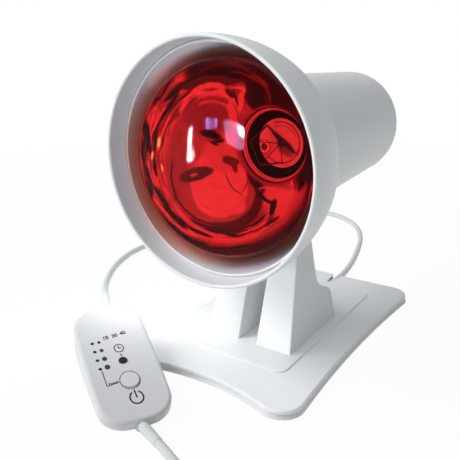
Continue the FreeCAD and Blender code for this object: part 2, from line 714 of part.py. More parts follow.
def make_ballast():
    """Steel weight that lies in the bottom cover."""
    low = FLOOR_TOP + SEAT_GAP
    plate = prism(base_wire(-(BASE_RIM + BALLAST_GAP), low), BALLAST_THICK)
    for x, y in COVER_SCREW_SPOTS:
        plate = plate.cut(Part.makeCylinder(COVER_PAD_R + BALLAST_GAP, BALLAST_THICK, Vector(x, y, low)))
    for seat in post_screw_seats():
        room = Part.makeCylinder(POST_SCREW[0] + BALLAST_GAP, BALLAST_THICK, Vector(seat.x, seat.y, low))
        plate = plate.cut(room)
    half = BUSH_WIDTH / 2 + 2 * BALLAST_GAP
    high = low + BALLAST_THICK
    channel = solid_box((NOTCH_X - half, lead_bay()[0], low), (NOTCH_X + half, BASE_DEPTH, high))
    bay = solid_box((NOTCH_X - half, lead_bay()[0], low), (lead_bay()[2], lead_bay()[1], low + BALLAST_THICK))
    return plate.cut(channel).cut(bay)


def lead_bay():
    """Front, rear and right edges of the bay in the ballast where the wires turn up."""
    return PIVOT_Y - LEAD_HOLE_R, PIVOT_Y + LEAD_HOLE_R, POST_GAP / 2 + POST_WIDTH / 2 + LEAD_HOLE_R


def make_cover_screws():
    """Screws that hold the two mouldings together."""
    return [screw(cover_screw_seat(x, y), Z_AXIS, COVER_SCREW) for x, y in COVER_SCREW_SPOTS]


# Posts

def post_profile(bottom):
    """Side outline of a post in the YZ plane: leaning front, round top, waisted rear."""
    lean = math.radians(POST_LEAN)
    front_dir = Vector(0, math.sin(lean), math.cos(lean))
    front_touch = PIVOT + Vector(0, -math.cos(lean), math.sin(lean)) * POST_TOP_R
    front_foot = front_touch - front_dir * ((front_touch.z - bottom) / front_dir.z)
    waist = Vector(0, *POST_WAIST)
    to_pivot = PIVOT - waist
    swing = math.asin(POST_TOP_R / to_pivot.Length)
    rear_dir = Rotation(X_AXIS, -math.degrees(swing)).multVec(to_pivot).normalize()
    cross = front_dir.y * rear_dir.z - front_dir.z * rear_dir.y
    gap = waist - front_touch
    apex = front_touch + front_dir * ((gap.y * rear_dir.z - gap.z * rear_dir.y) / cross)
    shoulder = Vector(0, *POST_SHOULDER)
    spread = (POST_FOOT_Y - POST_SHOULDER[0]) / (POST_SHOULDER[1] - PLATFORM_TOP)
    rear_foot = Vector(0, POST_FOOT_Y + (PLATFORM_TOP - bottom) * spread, bottom)
    return rounded_polygon([(front_foot, 0), (apex, POST_TOP_R), (waist, POST_WAIST_R),
                            (shoulder, POST_SHOULDER_R), (rear_foot, 0)])


def post_width_block(inner, outer, bottom):
    """Block between the post's upright inner face and its leaning outer face."""
    slope = math.tan(math.radians(POST_TAPER))
    top = PIVOT_Z + POST_TOP_R + 2

    def outer_at(z):
        return outer - (z - PLATFORM_TOP) * slope

    corners = [(inner, bottom), (outer_at(bottom), bottom), (outer_at(top), top), (inner, top)]
    wire = Part.makePolygon([Vector(x, -BASE_DEPTH, z) for x, z in corners + corners[:1]])
    return Part.Face(wire).extrude(Vector(0, 2 * BASE_DEPTH, 0))


def post_outer_x(z):
    """How far the right post's outer face is from the middle at height z."""
    return POST_GAP / 2 + POST_WIDTH - (z - PLATFORM_TOP) * math.tan(math.radians(POST_TAPER))


def x_cylinder(radius, start, end):
    """Cylinder on the pivot's axis."""
    return Part.makeCylinder(radius, end - start, Vector(start, PIVOT_Y, PIVOT_Z), X_AXIS)


def x_hexagon(flats, start, end):
    """Hexagonal bar on the pivot's axis."""
    corner = flats / math.sqrt(3)
    points = []
    for k in range(7):
        angle = math.radians(60 * k)
        points.append(PIVOT + Vector(start, corner * math.cos(angle), corner * math.sin(angle)))
    return Part.Face(Part.makePolygon(points)).extrude(Vector(end - start, 0, 0))


def post_blank():
    """Right-hand post as a hollow moulding, before the pivot's details."""
    inner = POST_GAP / 2
    outer = inner + POST_WIDTH
    face = Part.Face(post_profile(PLATFORM_TOP))
    body = face.extrude(Vector(2 * BASE_WIDTH, 0, 0)).common(post_width_block(inner, outer, PLATFORM_TOP))
    body = body.makeFillet(POST_EDGE_R, [e for e in body.Edges if e.CenterOfMass.z > PLATFORM_TOP + 0.1
                                         and e.BoundBox.XLength < POST_WIDTH / 2])
    low = PLATFORM_TOP - 2 * POST_WALL
    hollow_face = Part.Face(post_profile(low)).makeOffset2D(-POST_WALL)
    hollow = hollow_face.extrude(Vector(2 * BASE_WIDTH, 0, 0))
    hollow = hollow.common(post_width_block(inner + POST_WALL, outer - POST_WALL, low))
    for x, y in POST_SCREW_SPOTS:
        hollow = hollow.cut(Part.makeCylinder(POST_BOSS_R, POST_BOSS_HEIGHT, Vector(x, y, PLATFORM_TOP)))
        rib = (POST_RIB / 2, POST_BOSS_HEIGHT)
        corner = (outer, y + rib[0], PLATFORM_TOP + rib[1])
        hollow = hollow.cut(solid_box((0, y - rib[0], PLATFORM_TOP), corner))
    hollow = hollow.cut(x_cylinder(PIVOT_TUBE_R, 0, outer))
    body = body.cut(hollow).cut(x_cylinder(BOLT_R + RUNNING_FIT, 0, pivot_nut_span()[1]))
    for x, y in POST_SCREW_SPOTS:
        body = body.cut(screw_hole(Vector(x, y, SKIN_UNDER), Z_AXIS, POST_SCREW, THREAD_FIT))
    return body


def pivot_nut_span():
    """Start and end of the nut along X, inside the right post."""
    end = post_outer_x(PIVOT_Z) - NUT_COVER
    return end - NUT_HEIGHT, end


def bolt_seat_x():
    """Where the bolt's head bears in the left post, as a distance from the middle."""
    return post_outer_x(PIVOT_Z) - CAP_THICK - BOLT_HEAD_HEIGHT - BOLT_ROOM


def make_right_post():
    """Right post with a closed pocket for the nut."""
    start, end = pivot_nut_span()
    pocket = x_hexagon(NUT_FLATS + 2 * SEAT_GAP, start - SEAT_GAP, end + SEAT_GAP)
    return post_blank().cut(pocket)


def make_left_post():
    """Left post with a counterbore for the bolt's head and its cap."""
    post = post_blank().mirror(Vector(), X_AXIS)
    seat = bolt_seat_x()
    tube = x_cylinder(PIVOT_TUBE_R + BOLT_TUBE_WALL, -post_outer_x(PIVOT_Z) + 1, -POST_GAP / 2 - 1)
    post = post.fuse(tube.common(left_block()))
    post = post.cut(x_cylinder(BOLT_R + RUNNING_FIT, -seat - 1, 0))
    post = post.cut(x_cylinder(BOLT_HEAD_R + SCREW_PLAY, -BASE_WIDTH, -seat))
    return post.cut(x_cylinder(CAP_R, -BASE_WIDTH, -post_outer_x(PIVOT_Z) + CAP_THICK))


def left_block():
    """The left post's width between its faces, used to trim what is inside it."""
    block = post_width_block(POST_GAP / 2, POST_GAP / 2 + POST_WIDTH, PLATFORM_TOP)
    return block.mirror(Vector(), X_AXIS)


def make_bolt_cap():
    """Cap that hides the bolt's head, flush with the post's leaning face."""
    start = -post_outer_x(PIVOT_Z) + CAP_THICK - SEAT_GAP
    return x_cylinder(CAP_R - SEAT_GAP, start - 3 * CAP_THICK, start).common(left_block())


def make_pivot_bolt():
    """Bolt that the head tilts on."""
    seat = -bolt_seat_x()
    shaft = x_cylinder(BOLT_R, seat, pivot_nut_span()[1] - SEAT_GAP)
    head = x_cylinder(BOLT_HEAD_R, seat - BOLT_HEAD_HEIGHT, seat - 0.01)
    key = x_hexagon(BOLT_KEY[0], seat - BOLT_HEAD_HEIGHT, seat - BOLT_HEAD_HEIGHT + BOLT_KEY[1])
    return shaft.fuse(head.fuse(x_cylinder(BOLT_R, seat - 0.01, seat))).cut(key).removeSplitter()


def make_pivot_nut():
    """Nut held in the right post."""
    start, end = pivot_nut_span()
    return x_hexagon(NUT_FLATS, start, end).cut(x_cylinder(BOLT_R + THREAD_FIT, start, end))


def make_washers():
    """Two friction washers between the lug and the posts."""
    outer = POST_GAP / 2 - 0.01
    ring = x_cylinder(WASHER_R, outer - WASHER_THICK, outer)
    ring = ring.cut(x_cylinder(BOLT_R + RUNNING_FIT, outer - WASHER_THICK, outer))
    return ring, ring.mirror(Vector(), X_AXIS)


# Head

def bowl_curve(inset, front, points=9):
    """(depth, radius) points of the bowl's side from a given front depth to its back."""
    neck = NECK_R if inset == 0 else BOWL_BORE_R
    rim = LIP_R if inset == 0 else LIP_R - LIP_WIDTH - (inset - BOWL_WALL)
    back = BOWL_DEPTH - inset
    start = LIP_WIDTH / 2
    share = max(front - start, 0) / (back - start)
    first = math.asin(share ** (BOWL_POWER / 2))
    curve = []
    for k in range(points):
        t = first + (math.pi / 2 - first) * k / (points - 1)
        depth = start + (back - start) * math.sin(t) ** (2 / BOWL_POWER)
        radius = neck + (rim - neck) * max(math.cos(t), 0) ** (2 / BOWL_POWER)
        curve.append((depth, radius))
    return curve


def make_bowl():
    """Shade: a round bowl with a rolled lip and a collar for the housing."""
    outside = bowl_curve(0, 0)
    inside = bowl_curve(BOWL_WALL, 0)
    lip = Part.Arc(on_head(*inside[0]), on_head(0, LIP_R - LIP_WIDTH / 2), on_head(*outside[0])).toShape()
    rear = BOWL_DEPTH + COLLAR_LENGTH
    edges = [lip, head_spline(outside),
             head_line(outside[-1], (rear, NECK_R)),
             head_line((rear, NECK_R), (rear, BOWL_BORE_R)),
             head_line((rear, BOWL_BORE_R), inside[-1]),
             head_spline(inside[::-1])]
    bowl = turned(edges)
    for seat, inward in collar_seats():
        bowl = bowl.cut(screw_hole(seat, inward, COLLAR_SCREW, SCREW_PLAY))
    return bowl


def collar_seats():
    """Where the three collar screws bear, and the way they point."""
    seats = []
    for angle in (90, 210, 330):
        outward = Vector(math.cos(math.radians(angle)), 0, math.sin(math.radians(angle)))
        centre = on_head(BOWL_DEPTH + COLLAR_LENGTH / 2, 0)
        seats.append((centre + outward * (NECK_R + 0.1), outward * -1))
    return seats


def make_liner():
    """Thin metal liner of the bowl, with a rolled bead along its front edge."""
    outside = bowl_curve(BOWL_WALL + LINER_GAP, LINER_FRONT)
    inside = bowl_curve(BOWL_WALL + LINER_GAP + LINER_THICK, LINER_FRONT)
    outside = [p for p in outside if p[1] > BOWL_BORE_R + LINER_REAR]
    inside = [p for p in inside if p[1] > BOWL_BORE_R + LINER_REAR]
    skin = turned([head_line(inside[0], outside[0]), head_spline(outside),
                   head_line(outside[-1], inside[-1]), head_spline(inside[::-1])])
    centre = Vector(0, LIP_Y + LINER_FRONT, HEAD_Z)
    ring_r = outside[0][1] - LINER_BEAD_R
    bead = Part.makeTorus(ring_r, LINER_BEAD_R, centre, Y_AXIS)
    return skin.fuse(bead).removeSplitter()


def housing_radius(depth):
    """Outer radius of the rear housing at a depth."""
    share = (depth - BOWL_DEPTH) / (HOUSING_REAR - BOWL_DEPTH)
    return HOUSING_FRONT_R + (HOUSING_REAR_R - HOUSING_FRONT_R) * share


def housing_solid(inset):
    """Rear housing as a full body, drawn in by inset all round."""
    front = BOWL_DEPTH - HOUSING_OVERLAP - (1 if inset else 0)
    rear = HOUSING_REAR - inset
    corners = [(on_head(front, 0), 0), (on_head(front, housing_radius(front) - inset), 0),
               (on_head(rear, housing_radius(rear) - inset), HOUSING_EDGE_R - inset), (on_head(rear, 0), 0)]
    face = Part.Face(rounded_polygon(corners))
    return face.revolve(HEAD_CENTRE, Y_AXIS, 360)


def vent_slots():
    """Rows of slots in the housing's rear wall."""
    slots = []
    for k in range(VENT_ROWS):
        rise = (k - (VENT_ROWS - 1) / 2) * VENT_PITCH
        half = math.sqrt(VENT_FIELD_R ** 2 - rise ** 2)
        box = solid_box((-half, LIP_Y + HOUSING_REAR - 3 * HOUSING_WALL, HEAD_Z + rise - VENT_WIDTH / 2),
                        (half, LIP_Y + HOUSING_REAR + 1, HEAD_Z + rise + VENT_WIDTH / 2))
        ends = [e for e in box.Edges if e.BoundBox.YLength > HOUSING_WALL]
        slots.append(box.makeFillet(VENT_WIDTH / 2 - 0.01, ends))
    return slots


def lug_screw_seats():
    """Where the lug's screws bear on their pads, inside the housing."""
    seats = []
    for side in (-1, 1):
        y = PIVOT_Y + side * LUG_SCREW_REACH
        inner = housing_radius(y - LIP_Y) - HOUSING_WALL
        seats.append(Vector(0, y, HEAD_Z - inner + LUG_PAD_RISE))
    return seats


def make_housing():
    """Rear housing: a tapered can with vents, screw pads and a wire hole."""
    housing = housing_solid(0).cut(housing_solid(HOUSING_WALL))
    core = housing_solid(SEAT_GAP)
    for seat in lug_screw_seats():
        pad = Part.makeCylinder(LUG_SCREW[0] + LUG_PAD_WALL, LUG_SCREW[3], seat - Z_AXIS * LUG_SCREW[3])
        housing = housing.fuse(pad.common(core))
        housing = housing.cut(screw_hole(seat, Z_AXIS * -1, LUG_SCREW, SCREW_PLAY))
    for side in (-1, 1):
        housing = housing.fuse(bracket_pad(side).common(core))
        housing = housing.cut(screw_hole(bracket_seat(side), Vector(side, 0, 0), BRACKET_SCREW, THREAD_FIT))
    for seat, inward in collar_seats():
        housing = housing.cut(screw_hole(seat, inward, COLLAR_SCREW, THREAD_FIT))
    for slot in vent_slots():
        housing = housing.cut(slot)
    return housing.cut(lug_wire_hole())


def bracket_seat(side):
    """Where the bracket's foot bears on its pad inside the housing."""
    x = housing_radius(HOLDER_REAR) - HOUSING_WALL - BRACKET_PAD_RISE
    return Vector(side * x, LIP_Y + HOLDER_REAR + BRACKET_THICK - BRACKET_FOOT / 2, HEAD_Z)


def bracket_pad(side):
    """Flat-topped pad on the housing's inner wall for the lampholder's bracket."""
    seat = bracket_seat(side)
    half = BRACKET_FOOT / 2
    reach = side * BRACKET_PAD_DEPTH
    low = (min(seat.x, seat.x + reach), seat.y - half, seat.z - BRACKET_WIDTH / 2)
    high = (max(seat.x, seat.x + reach), seat.y + half, seat.z + BRACKET_WIDTH / 2)
    return solid_box(low, high)


def lug_wire_hole():
    """Hole for the head's wires through the housing's floor and down the lug."""
    low = PIVOT_Z + LUG_R + LUG_WIRE_START
    return Part.makeCylinder(LUG_WIRE_R, HEAD_Z - low, Vector(0, PIVOT_Y, low))


def make_lug():
    """Lug between the posts, with a saddle that fits the housing's underside."""
    half = POST_GAP / 2 - WASHER_THICK - LUG_PLAY
    eye = x_cylinder(LUG_R, -half, half)
    rise = HEAD_Z - HOUSING_FRONT_R + LUG_SADDLE_RISE
    stem = solid_box((-half, PIVOT_Y - LUG_R, PIVOT_Z), (half, PIVOT_Y + LUG_R, rise))
    saddle_low = HEAD_Z - housing_radius(PIVOT_Y - LIP_Y) - LUG_SADDLE_THICK
    length = LUG_SADDLE_LENGTH / 2
    wide = LUG_SADDLE_WIDTH / 2
    saddle = rounded_box((-wide, PIVOT_Y - length, saddle_low), (wide, PIVOT_Y + length, rise), LUG_SADDLE_R)
    web_end = length - LUG_WEB[0]
    web_low = saddle_low - LUG_WEB[1]
    web_points = [(-web_end, saddle_low), (web_end, saddle_low), (LUG_R, web_low), (-LUG_R, web_low)]
    web_wire = Part.makePolygon([Vector(-half, PIVOT_Y + y, z) for y, z in web_points + web_points[:1]])
    web = Part.Face(web_wire).extrude(Vector(2 * half, 0, 0))
    lug = eye.fuse(stem).fuse(saddle).fuse(web).cut(housing_solid(-SEAT_GAP))
    lug = lug.cut(x_cylinder(BOLT_R + RUNNING_FIT, -half, half)).cut(lug_wire_hole())
    for seat in lug_screw_seats():
        lug = lug.cut(screw_hole(seat, Z_AXIS * -1, LUG_SCREW, THREAD_FIT))
    return lug.removeSplitter()


# Bulb and lampholder

def dome_curve(inset, points=9):
    """(depth, radius) points of the bulb's front from its apex to its widest ring."""
    curve = []
    for k in range(points):
        t = math.pi / 2 * k / (points - 1)
        radius = (BULB_R - inset) * math.sin(t) ** (2 / BULB_POWER)
        depth = BULB_EQUATOR - (BULB_DOME - inset) * max(math.cos(t), 0) ** (2 / BULB_POWER)
        curve.append((depth, radius))
    return curve


def make_bulb_front():
    """Red glass dome of the bulb."""
    outside = dome_curve(0)
    inside = dome_curve(BULB_GLASS)
    return turned([head_line(inside[0], outside[0]), head_spline(outside),
                   head_line(outside[-1], inside[-1]), head_spline(inside[::-1])])


def make_bulb_reflector():
    """Silvered glass cone and neck of the bulb."""
    start = BULB_EQUATOR + 0.01
    outside = ((start, BULB_R),) + NECK_STEPS
    inside = ((start, BULB_R - BULB_GLASS),) + tuple((d, r - BULB_GLASS) for d, r in NECK_STEPS)
    return turned([head_line(inside[0], outside[0]), head_spline(outside),
                   head_line(outside[-1], inside[-1]), head_spline(inside[::-1])])


def make_bulb_cap():
    """Screw cap of the bulb, its thread drawn as rounded rings."""
    root_r = CAP_THREAD_R - CAP_THREAD_DEPTH
    shell = head_tube(CAP_FRONT, root_r, CAP_REAR - CAP_FRONT)
    pitch = (CAP_REAR - CAP_FRONT - sum(CAP_PLAIN)) / CAP_RINGS
    for k in range(CAP_RINGS):
        centre = on_head(CAP_FRONT + CAP_PLAIN[0] + pitch * k, 0)
        shell = shell.fuse(Part.makeTorus(CAP_THREAD_R - CAP_RING_R, CAP_RING_R, centre, Y_AXIS))
    inside = head_tube(CAP_FRONT - 1, root_r - CAP_SKIN, CAP_REAR - CAP_FRONT)
    inner = [(CAP_FRONT + depth, radius) for depth, radius in CAP_COLLAR]
    outer = [(depth, radius + CAP_SKIN) for depth, radius in inner]
    collar = head_polygon(inner + outer[::-1])
    neck_room = make_neck_plug(SEAT_GAP)
    return shell.cut(inside).fuse(collar).cut(neck_room).removeSplitter()


def make_neck_plug(play):
    """The space that the bulb's neck takes up inside its cap."""
    points = [(d, r + play) for d, r in NECK_STEPS if d > HEAT_DISC_DEPTH]
    end = points[-1]
    return turned([head_line((points[0][0], 0), points[0]), head_spline(points),
                   head_line(end, (end[0], 0)), head_line((end[0], 0), (points[0][0], 0))])


def make_bulb_contact():
    """Insulator and centre contact at the end of the bulb's cap."""
    rear = CAP_REAR + SEAT_GAP
    wide, narrow, length = CONTACT_GLASS
    glass = head_polygon([(rear, 0), (rear, wide), (rear + length, narrow), (rear + length, 0)])
    return glass.fuse(head_tube(rear + length, *CONTACT_BUTTON)).removeSplitter()


def make_stem():
    """Glass stem that carries the filament."""
    foot = (STEM_STEPS[0][0], 0.0)
    return head_polygon((foot,) + STEM_STEPS)


def make_heat_disc():
    """Thin disc in the neck that keeps heat off the cap."""
    disc = head_tube(HEAT_DISC_DEPTH, HEAT_DISC_R, HEAT_DISC_THICK)
    return disc.cut(head_tube(HEAT_DISC_DEPTH, HEAT_DISC_BORE_R, HEAT_DISC_THICK))


def filament_posts():
    """Ends of the filament's supports, round the stem."""
    ends = []
    for k in range(FILAMENT_POSTS):
        angle = math.radians(FILAMENT_START + FILAMENT_STEP * k)
        outward = Vector(math.cos(angle), 0, math.sin(angle))
        ends.append(on_head(FILAMENT_DEPTH, 0) + outward * FILAMENT_SPREAD)
    return ends


def make_filament():
    """Coiled filament strung round its supports, as one slim bar per stretch."""
    ends = filament_posts()
    bar = Part.makeSphere(FILAMENT_BEAD_R, ends[0])
    for a, b in zip(ends, ends[1:]):
        stretch = cone_between(a, b, (FILAMENT_R, FILAMENT_R))
        bar = bar.fuse(stretch).fuse(Part.makeSphere(FILAMENT_BEAD_R, b))
    return bar.removeSplitter()


def make_filament_wires():
    """Wires from the stem's tip to the filament."""
    hub = on_head(WIRE_HUB_DEPTH, 0)
    wires = []
    for end in filament_posts():
        along = (end - hub).normalize()
        start = hub + along * WIRE_GAPS[0]
        stop = end - along * WIRE_GAPS[1]
        wires.append(cone_between(start, stop, (WIRE_R, WIRE_R)))
    return wires


def make_holder_body():
    """Ceramic body of the lampholder."""
    body = head_tube(HOLDER_FRONT, HOLDER_R, HOLDER_REAR - HOLDER_FRONT)
    rims = [e for e in body.Edges if e.BoundBox.YLength < 0.01]
    body = body.makeFillet(HOLDER_EDGE_R, rims)
    mouth_r, cone_start, cone_end = HOLDER_MOUTH
    floor = HOLDER_REAR - HOLDER_FLOOR
    room = head_polygon([(HOLDER_FRONT - 1, 0), (HOLDER_FRONT - 1, mouth_r),
                         (HOLDER_FRONT + cone_start, mouth_r), (HOLDER_FRONT + cone_end, HOLDER_BORE_R),
                         (floor, HOLDER_BORE_R), (floor, 0)])
    body = body.cut(room)
    for side in (-1, 1):
        body = body.cut(screw_hole(holder_seat(side), Y_AXIS * -1, BRACKET_SCREW, THREAD_FIT))
    return body


def make_holder_shell():
    """Metal thread shell inside the lampholder."""
    start = HOLDER_FRONT + HOLDER_MOUTH[2] + 1
    length = CAP_REAR - start
    outer = head_tube(start, HOLDER_BORE_R - SEAT_GAP, length)
    return outer.cut(head_tube(start, HOLDER_BORE_R - SEAT_GAP - HOLDER_SHELL_THICK, length))


def make_centre_contact():
    """Spring tongue that meets the bulb's centre contact."""
    tip = LIP_Y + CAP_REAR + CONTACT_GLASS[2] + CONTACT_BUTTON[1] + 2 * SEAT_GAP
    floor = LIP_Y + HOLDER_REAR - HOLDER_FLOOR
    half = TONGUE_WIDTH / 2
    top, bend, end = (HEAD_Z + rise for rise in TONGUE_SPAN)
    bar = solid_box((-half, tip, bend), (half, tip + TONGUE_THICK, top))
    leg = solid_box((-half, tip, bend), (half, floor, bend + TONGUE_THICK))
    foot = solid_box((-half, floor - TONGUE_THICK, end), (half, floor, bend + TONGUE_THICK))
    return bar.fuse(leg).fuse(foot).removeSplitter()


def make_bracket():
    """Strap across the housing that carries the lampholder."""
    reach = bracket_seat(1).x
    rear = LIP_Y + HOLDER_REAR
    half = BRACKET_WIDTH / 2
    strap = solid_box((-reach, rear, HEAD_Z - half), (reach, rear + BRACKET_THICK, HEAD_Z + half))
    for side in (-1, 1):
        inner = side * (reach - BRACKET_THICK)
        outer = side * reach
        strap = strap.fuse(solid_box((min(inner, outer), rear + BRACKET_THICK - BRACKET_FOOT, HEAD_Z - half),
                                     (max(inner, outer), rear + BRACKET_THICK, HEAD_Z + half)))
        foot = bracket_seat(side) - Vector(side * BRACKET_THICK, 0, 0)
        strap = strap.cut(screw_hole(foot, Vector(side, 0, 0), BRACKET_SCREW, SCREW_PLAY))
    for side in (-1, 1):
        strap = strap.cut(screw_hole(holder_seat(side), Y_AXIS * -1, BRACKET_SCREW, SCREW_PLAY))
        hole = Vector(HEAD_LEAD_EXIT[0] * side, rear - 1, HEAD_Z + HEAD_LEAD_EXIT[1])
        strap = strap.cut(Part.makeCylinder(2 * LEAD_R, 3 * BRACKET_THICK, hole, Y_AXIS))
    return strap.removeSplitter()


def holder_seat(side):
    """Where the screws into the back of the lampholder bear."""
    return Vector(side * HOLDER_SCREW_X, LIP_Y + HOLDER_REAR + BRACKET_THICK, HEAD_Z)


def make_bracket_screws():
    """Two screws into the housing and two into the lampholder."""
    screws = []
    for side in (-1, 1):
        foot = bracket_seat(side) - Vector(side * BRACKET_THICK, 0, 0)
        screws.append(screw(foot, Vector(side, 0, 0), BRACKET_SCREW))
        screws.append(screw(holder_seat(side), Y_AXIS * -1, BRACKET_SCREW))
    return screws


def make_heat_shield():
    """Metal ring across the housing, behind the bulb's cone."""
    rim = housing_radius(SHIELD_DEPTH + SHIELD_SKIRT) - HOUSING_WALL - SEAT_GAP
    ring = head_tube(SHIELD_DEPTH, rim, SHIELD_THICK)
    ring = ring.cut(head_tube(SHIELD_DEPTH, SHIELD_BORE_R, SHIELD_THICK))
    skirt = head_tube(SHIELD_DEPTH, rim, SHIELD_SKIRT)
    skirt = skirt.cut(head_tube(SHIELD_DEPTH, rim - SHIELD_THICK, SHIELD_SKIRT))
    half, rise = SHIELD_GATE
    gate = solid_box((-half, LIP_Y + SHIELD_DEPTH - 1, HEAD_Z - rim - 1),
                     (half, LIP_Y + SHIELD_DEPTH + SHIELD_SKIRT + 1, HEAD_Z - rim + rise))
    return ring.fuse(skirt).cut(gate).removeSplitter()


def make_head_leads():
    """Two wires from the lampholder's rear to the housing's wire hole."""
    rear = LIP_Y + HOLDER_REAR
    leads = []
    for side in (-1, 1):
        route = [(HEAD_LEAD_EXIT[0] * side, rear + SEAT_GAP, HEAD_Z + HEAD_LEAD_EXIT[1])]
        route += [(x * side, rear + y, HEAD_Z + z) for x, y, z in HEAD_LEAD_BEND]
        route += [(x * side, PIVOT_Y + y, HEAD_Z + z) for x, y, z in HEAD_LEAD_DROP]
        route.append((HEAD_LEAD_END[0] * side, PIVOT_Y, PIVOT_Z + LUG_R + HEAD_LEAD_END[1]))
        leads.append(cord_tube("head lead", route, LEAD_R))
    return leads


# Inside the base

def make_bush():
    """Cord bush that is clamped between the mouldings, with its tail in the notch."""
    low = FLOOR_TOP + SEAT_GAP
    high = PLATE_TOP - GROOVE_SKIN - SEAT_GAP
    half = BUSH_WIDTH / 2
    rear = BUSH_START_Y + BUSH_LENGTH
    body = rounded_box((NOTCH_X - half, BUSH_START_Y, low), (NOTCH_X + half, rear, high), BUSH_EDGE_R)
    root = Vector(NOTCH_X, BUSH_START_Y + BUSH_LENGTH - BUSH_ROOT, BUSH_TAIL_Z)
    tail = cone_between(root, bush_tip(), BUSH_TAIL_R)
    return body.fuse(tail).removeSplitter()


def bush_tip():
    """Where the lamp's flex comes out of its bush."""
    return Vector(NOTCH_X, BUSH_START_Y + BUSH_LENGTH + BUSH_TAIL_LENGTH, BUSH_TAIL_Z)


def make_splices():
    """Two crimped splices that join the flex to the wires in the base."""
    start_y = BUSH_START_Y - SPLICE_LENGTH - SPLICE_GAP
    splices = []
    for side in (-1, 1):
        start = Vector(NOTCH_X + LEAD_SPREAD * side, start_y, LEAD_Z)
        splices.append(Part.makeCylinder(SPLICE_R, SPLICE_LENGTH, start, Y_AXIS))
    return splices


def make_base_leads():
    """Two wires from the splices to the right post and up towards the pivot."""
    start_y = BUSH_START_Y - SPLICE_LENGTH - SPLICE_GAP
    foot_x = POST_GAP / 2 + POST_WIDTH / 2
    leads = []
    for side in (-1, 1):
        x = NOTCH_X + LEAD_SPREAD * side
        end = foot_x - 1.6 * side
        y = PIVOT_Y + 1.5 * side
        route = [(x, start_y, LEAD_Z), (x, start_y - 27, LEAD_Z), (x + 0.6, start_y - 53, LEAD_Z),
                 (x + 3, y + 4, LEAD_Z), (end - 10, y, LEAD_Z), (end - 4, y, LEAD_Z + 0.6),
                 (end - 0.6, y, LEAD_Z + 5), (end, y, LEAD_Z + 14), (end - 0.4, y, LEAD_Z + 32),
                 (end - 1, y, PIVOT_Z - LEAD_TOP_GAP)]
        leads.append(cord_tube("base lead", route, LEAD_R))
    return leads


# Handset

def handset_wire(grow, z):
    """Outline of the handset grown outwards by grow."""
    side = -HANDSET_SIDE_BULGE
    end = -HANDSET_END_BULGE
    width = HANDSET_WIDTH - 2 * HANDSET_SIDE_BULGE
    length = HANDSET_LENGTH - 2 * HANDSET_END_BULGE
    return bowed_wire(width, length, (end, side, end, side), HANDSET_CORNER_R, grow, z)


def handset_top_body(inset):
    """Full body of the handset's top half, drawn in by inset."""
    body = prism(handset_wire(-inset, -HANDSET_TOP_DEPTH), HANDSET_TOP_DEPTH - inset)
    return body.makeFillet(HANDSET_EDGE_R - inset * 0.8, edges_at(body, -inset))


def handset_back_body(inset):
    """Full body of the handset's back half, drawn in by inset."""
    lift = inset / math.cos(math.radians(HANDSET_WEDGE))
    head = HANDSET_TAIL_Y - inset * 1.4
    far = HANDSET_REACH
    corners = [(Vector(-far, -far, far), 0), (Vector(-far, -far, handset_back(-far) + lift), 0),
               (Vector(-far, HANDSET_HUMP_Y, handset_back(HANDSET_HUMP_Y) + lift), HANDSET_HUMP_R - inset),
               (Vector(-far, head, -HANDSET_TAIL_DEPTH), 0), (Vector(-far, head, far), 0)]
    side = Part.Face(rounded_polygon(corners)).extrude(Vector(2 * far, 0, 0))
    body = prism(handset_wire(-inset, -HANDSET_TOP_DEPTH - far), far).common(side)
    rim = [e for e in body.Edges if e.CenterOfMass.z < -HANDSET_TOP_DEPTH - HANDSET_BACK_START
           and len(e.Vertexes) == 2 and not runs_along(e, "Z") and not runs_along(e, "X")]
    return body.makeFillet(HANDSET_BACK_R - inset, rim)


def runs_along(edge, axis):
    """Whether an edge is a straight one along X, Y or Z."""
    box = edge.BoundBox
    return all(getattr(box, f"{other}Length") < 1e-4 for other in "XYZ" if other != axis)


def handset_screw_spots():
    """Places of the four screws that close the handset."""
    return [(sx * HANDSET_SCREW_X, sy * HANDSET_SCREW_Y) for sx in (-1, 1) for sy in (-1, 1)]


def handset_screw_seat(x, y):
    """Where a handset screw's head bears, deep in its tower."""
    return Vector(x, y, BOARD_UNDER - TOWER_SEAT)


def make_handset_top():
    """Face of the handset with its button holes and lamp windows."""
    shell = handset_top_body(0).cut(handset_top_body(HANDSET_WALL))
    for x, y in handset_screw_spots():
        boss = Part.makeCylinder(SCREW_BOSS_R, HANDSET_TOP_DEPTH - HANDSET_WALL, Vector(x, y, BOARD_TOP))
        shell = shell.fuse(boss).cut(screw_hole(handset_screw_seat(x, y), Z_AXIS, SMALL_SCREW, THREAD_FIT))
    holes = [(POWER_BUTTON, POWER_BUTTON_R + BUTTON_PLAY), (TIMER_BUTTON, TIMER_BUTTON_R + BUTTON_PLAY)]
    holes += [(spot, LED_R + SEAT_GAP) for spot in LED_SPOTS]
    for (x, y), radius in holes:
        shell = shell.cut(Part.makeCylinder(radius, 2 * HANDSET_TOP_DEPTH, Vector(x, y, -HANDSET_TOP_DEPTH)))
    return cut_relief_holes(laid_out(shell.removeSplitter()))


def make_handset_bottom():
    """Back of the handset with four screw towers and two cord holes."""
    shell = handset_back_body(0).cut(handset_back_body(HANDSET_WALL))
    core = handset_back_body(HANDSET_WALL / 6)
    far = HANDSET_REACH
    for x, y in handset_screw_spots():
        tower = Part.makeCylinder(TOWER_R, far, Vector(x, y, BOARD_UNDER - far))
        shell = shell.fuse(tower.common(core))
        seat = handset_screw_seat(x, y)
        head_room = Part.makeCylinder(SMALL_SCREW[0] + SCREW_PLAY, far, seat - Z_AXIS * far)
        shell = shell.cut(head_room).cut(screw_hole(seat, Z_AXIS, SMALL_SCREW, SCREW_PLAY))
    return cut_relief_holes(laid_out(shell.removeSplitter()))


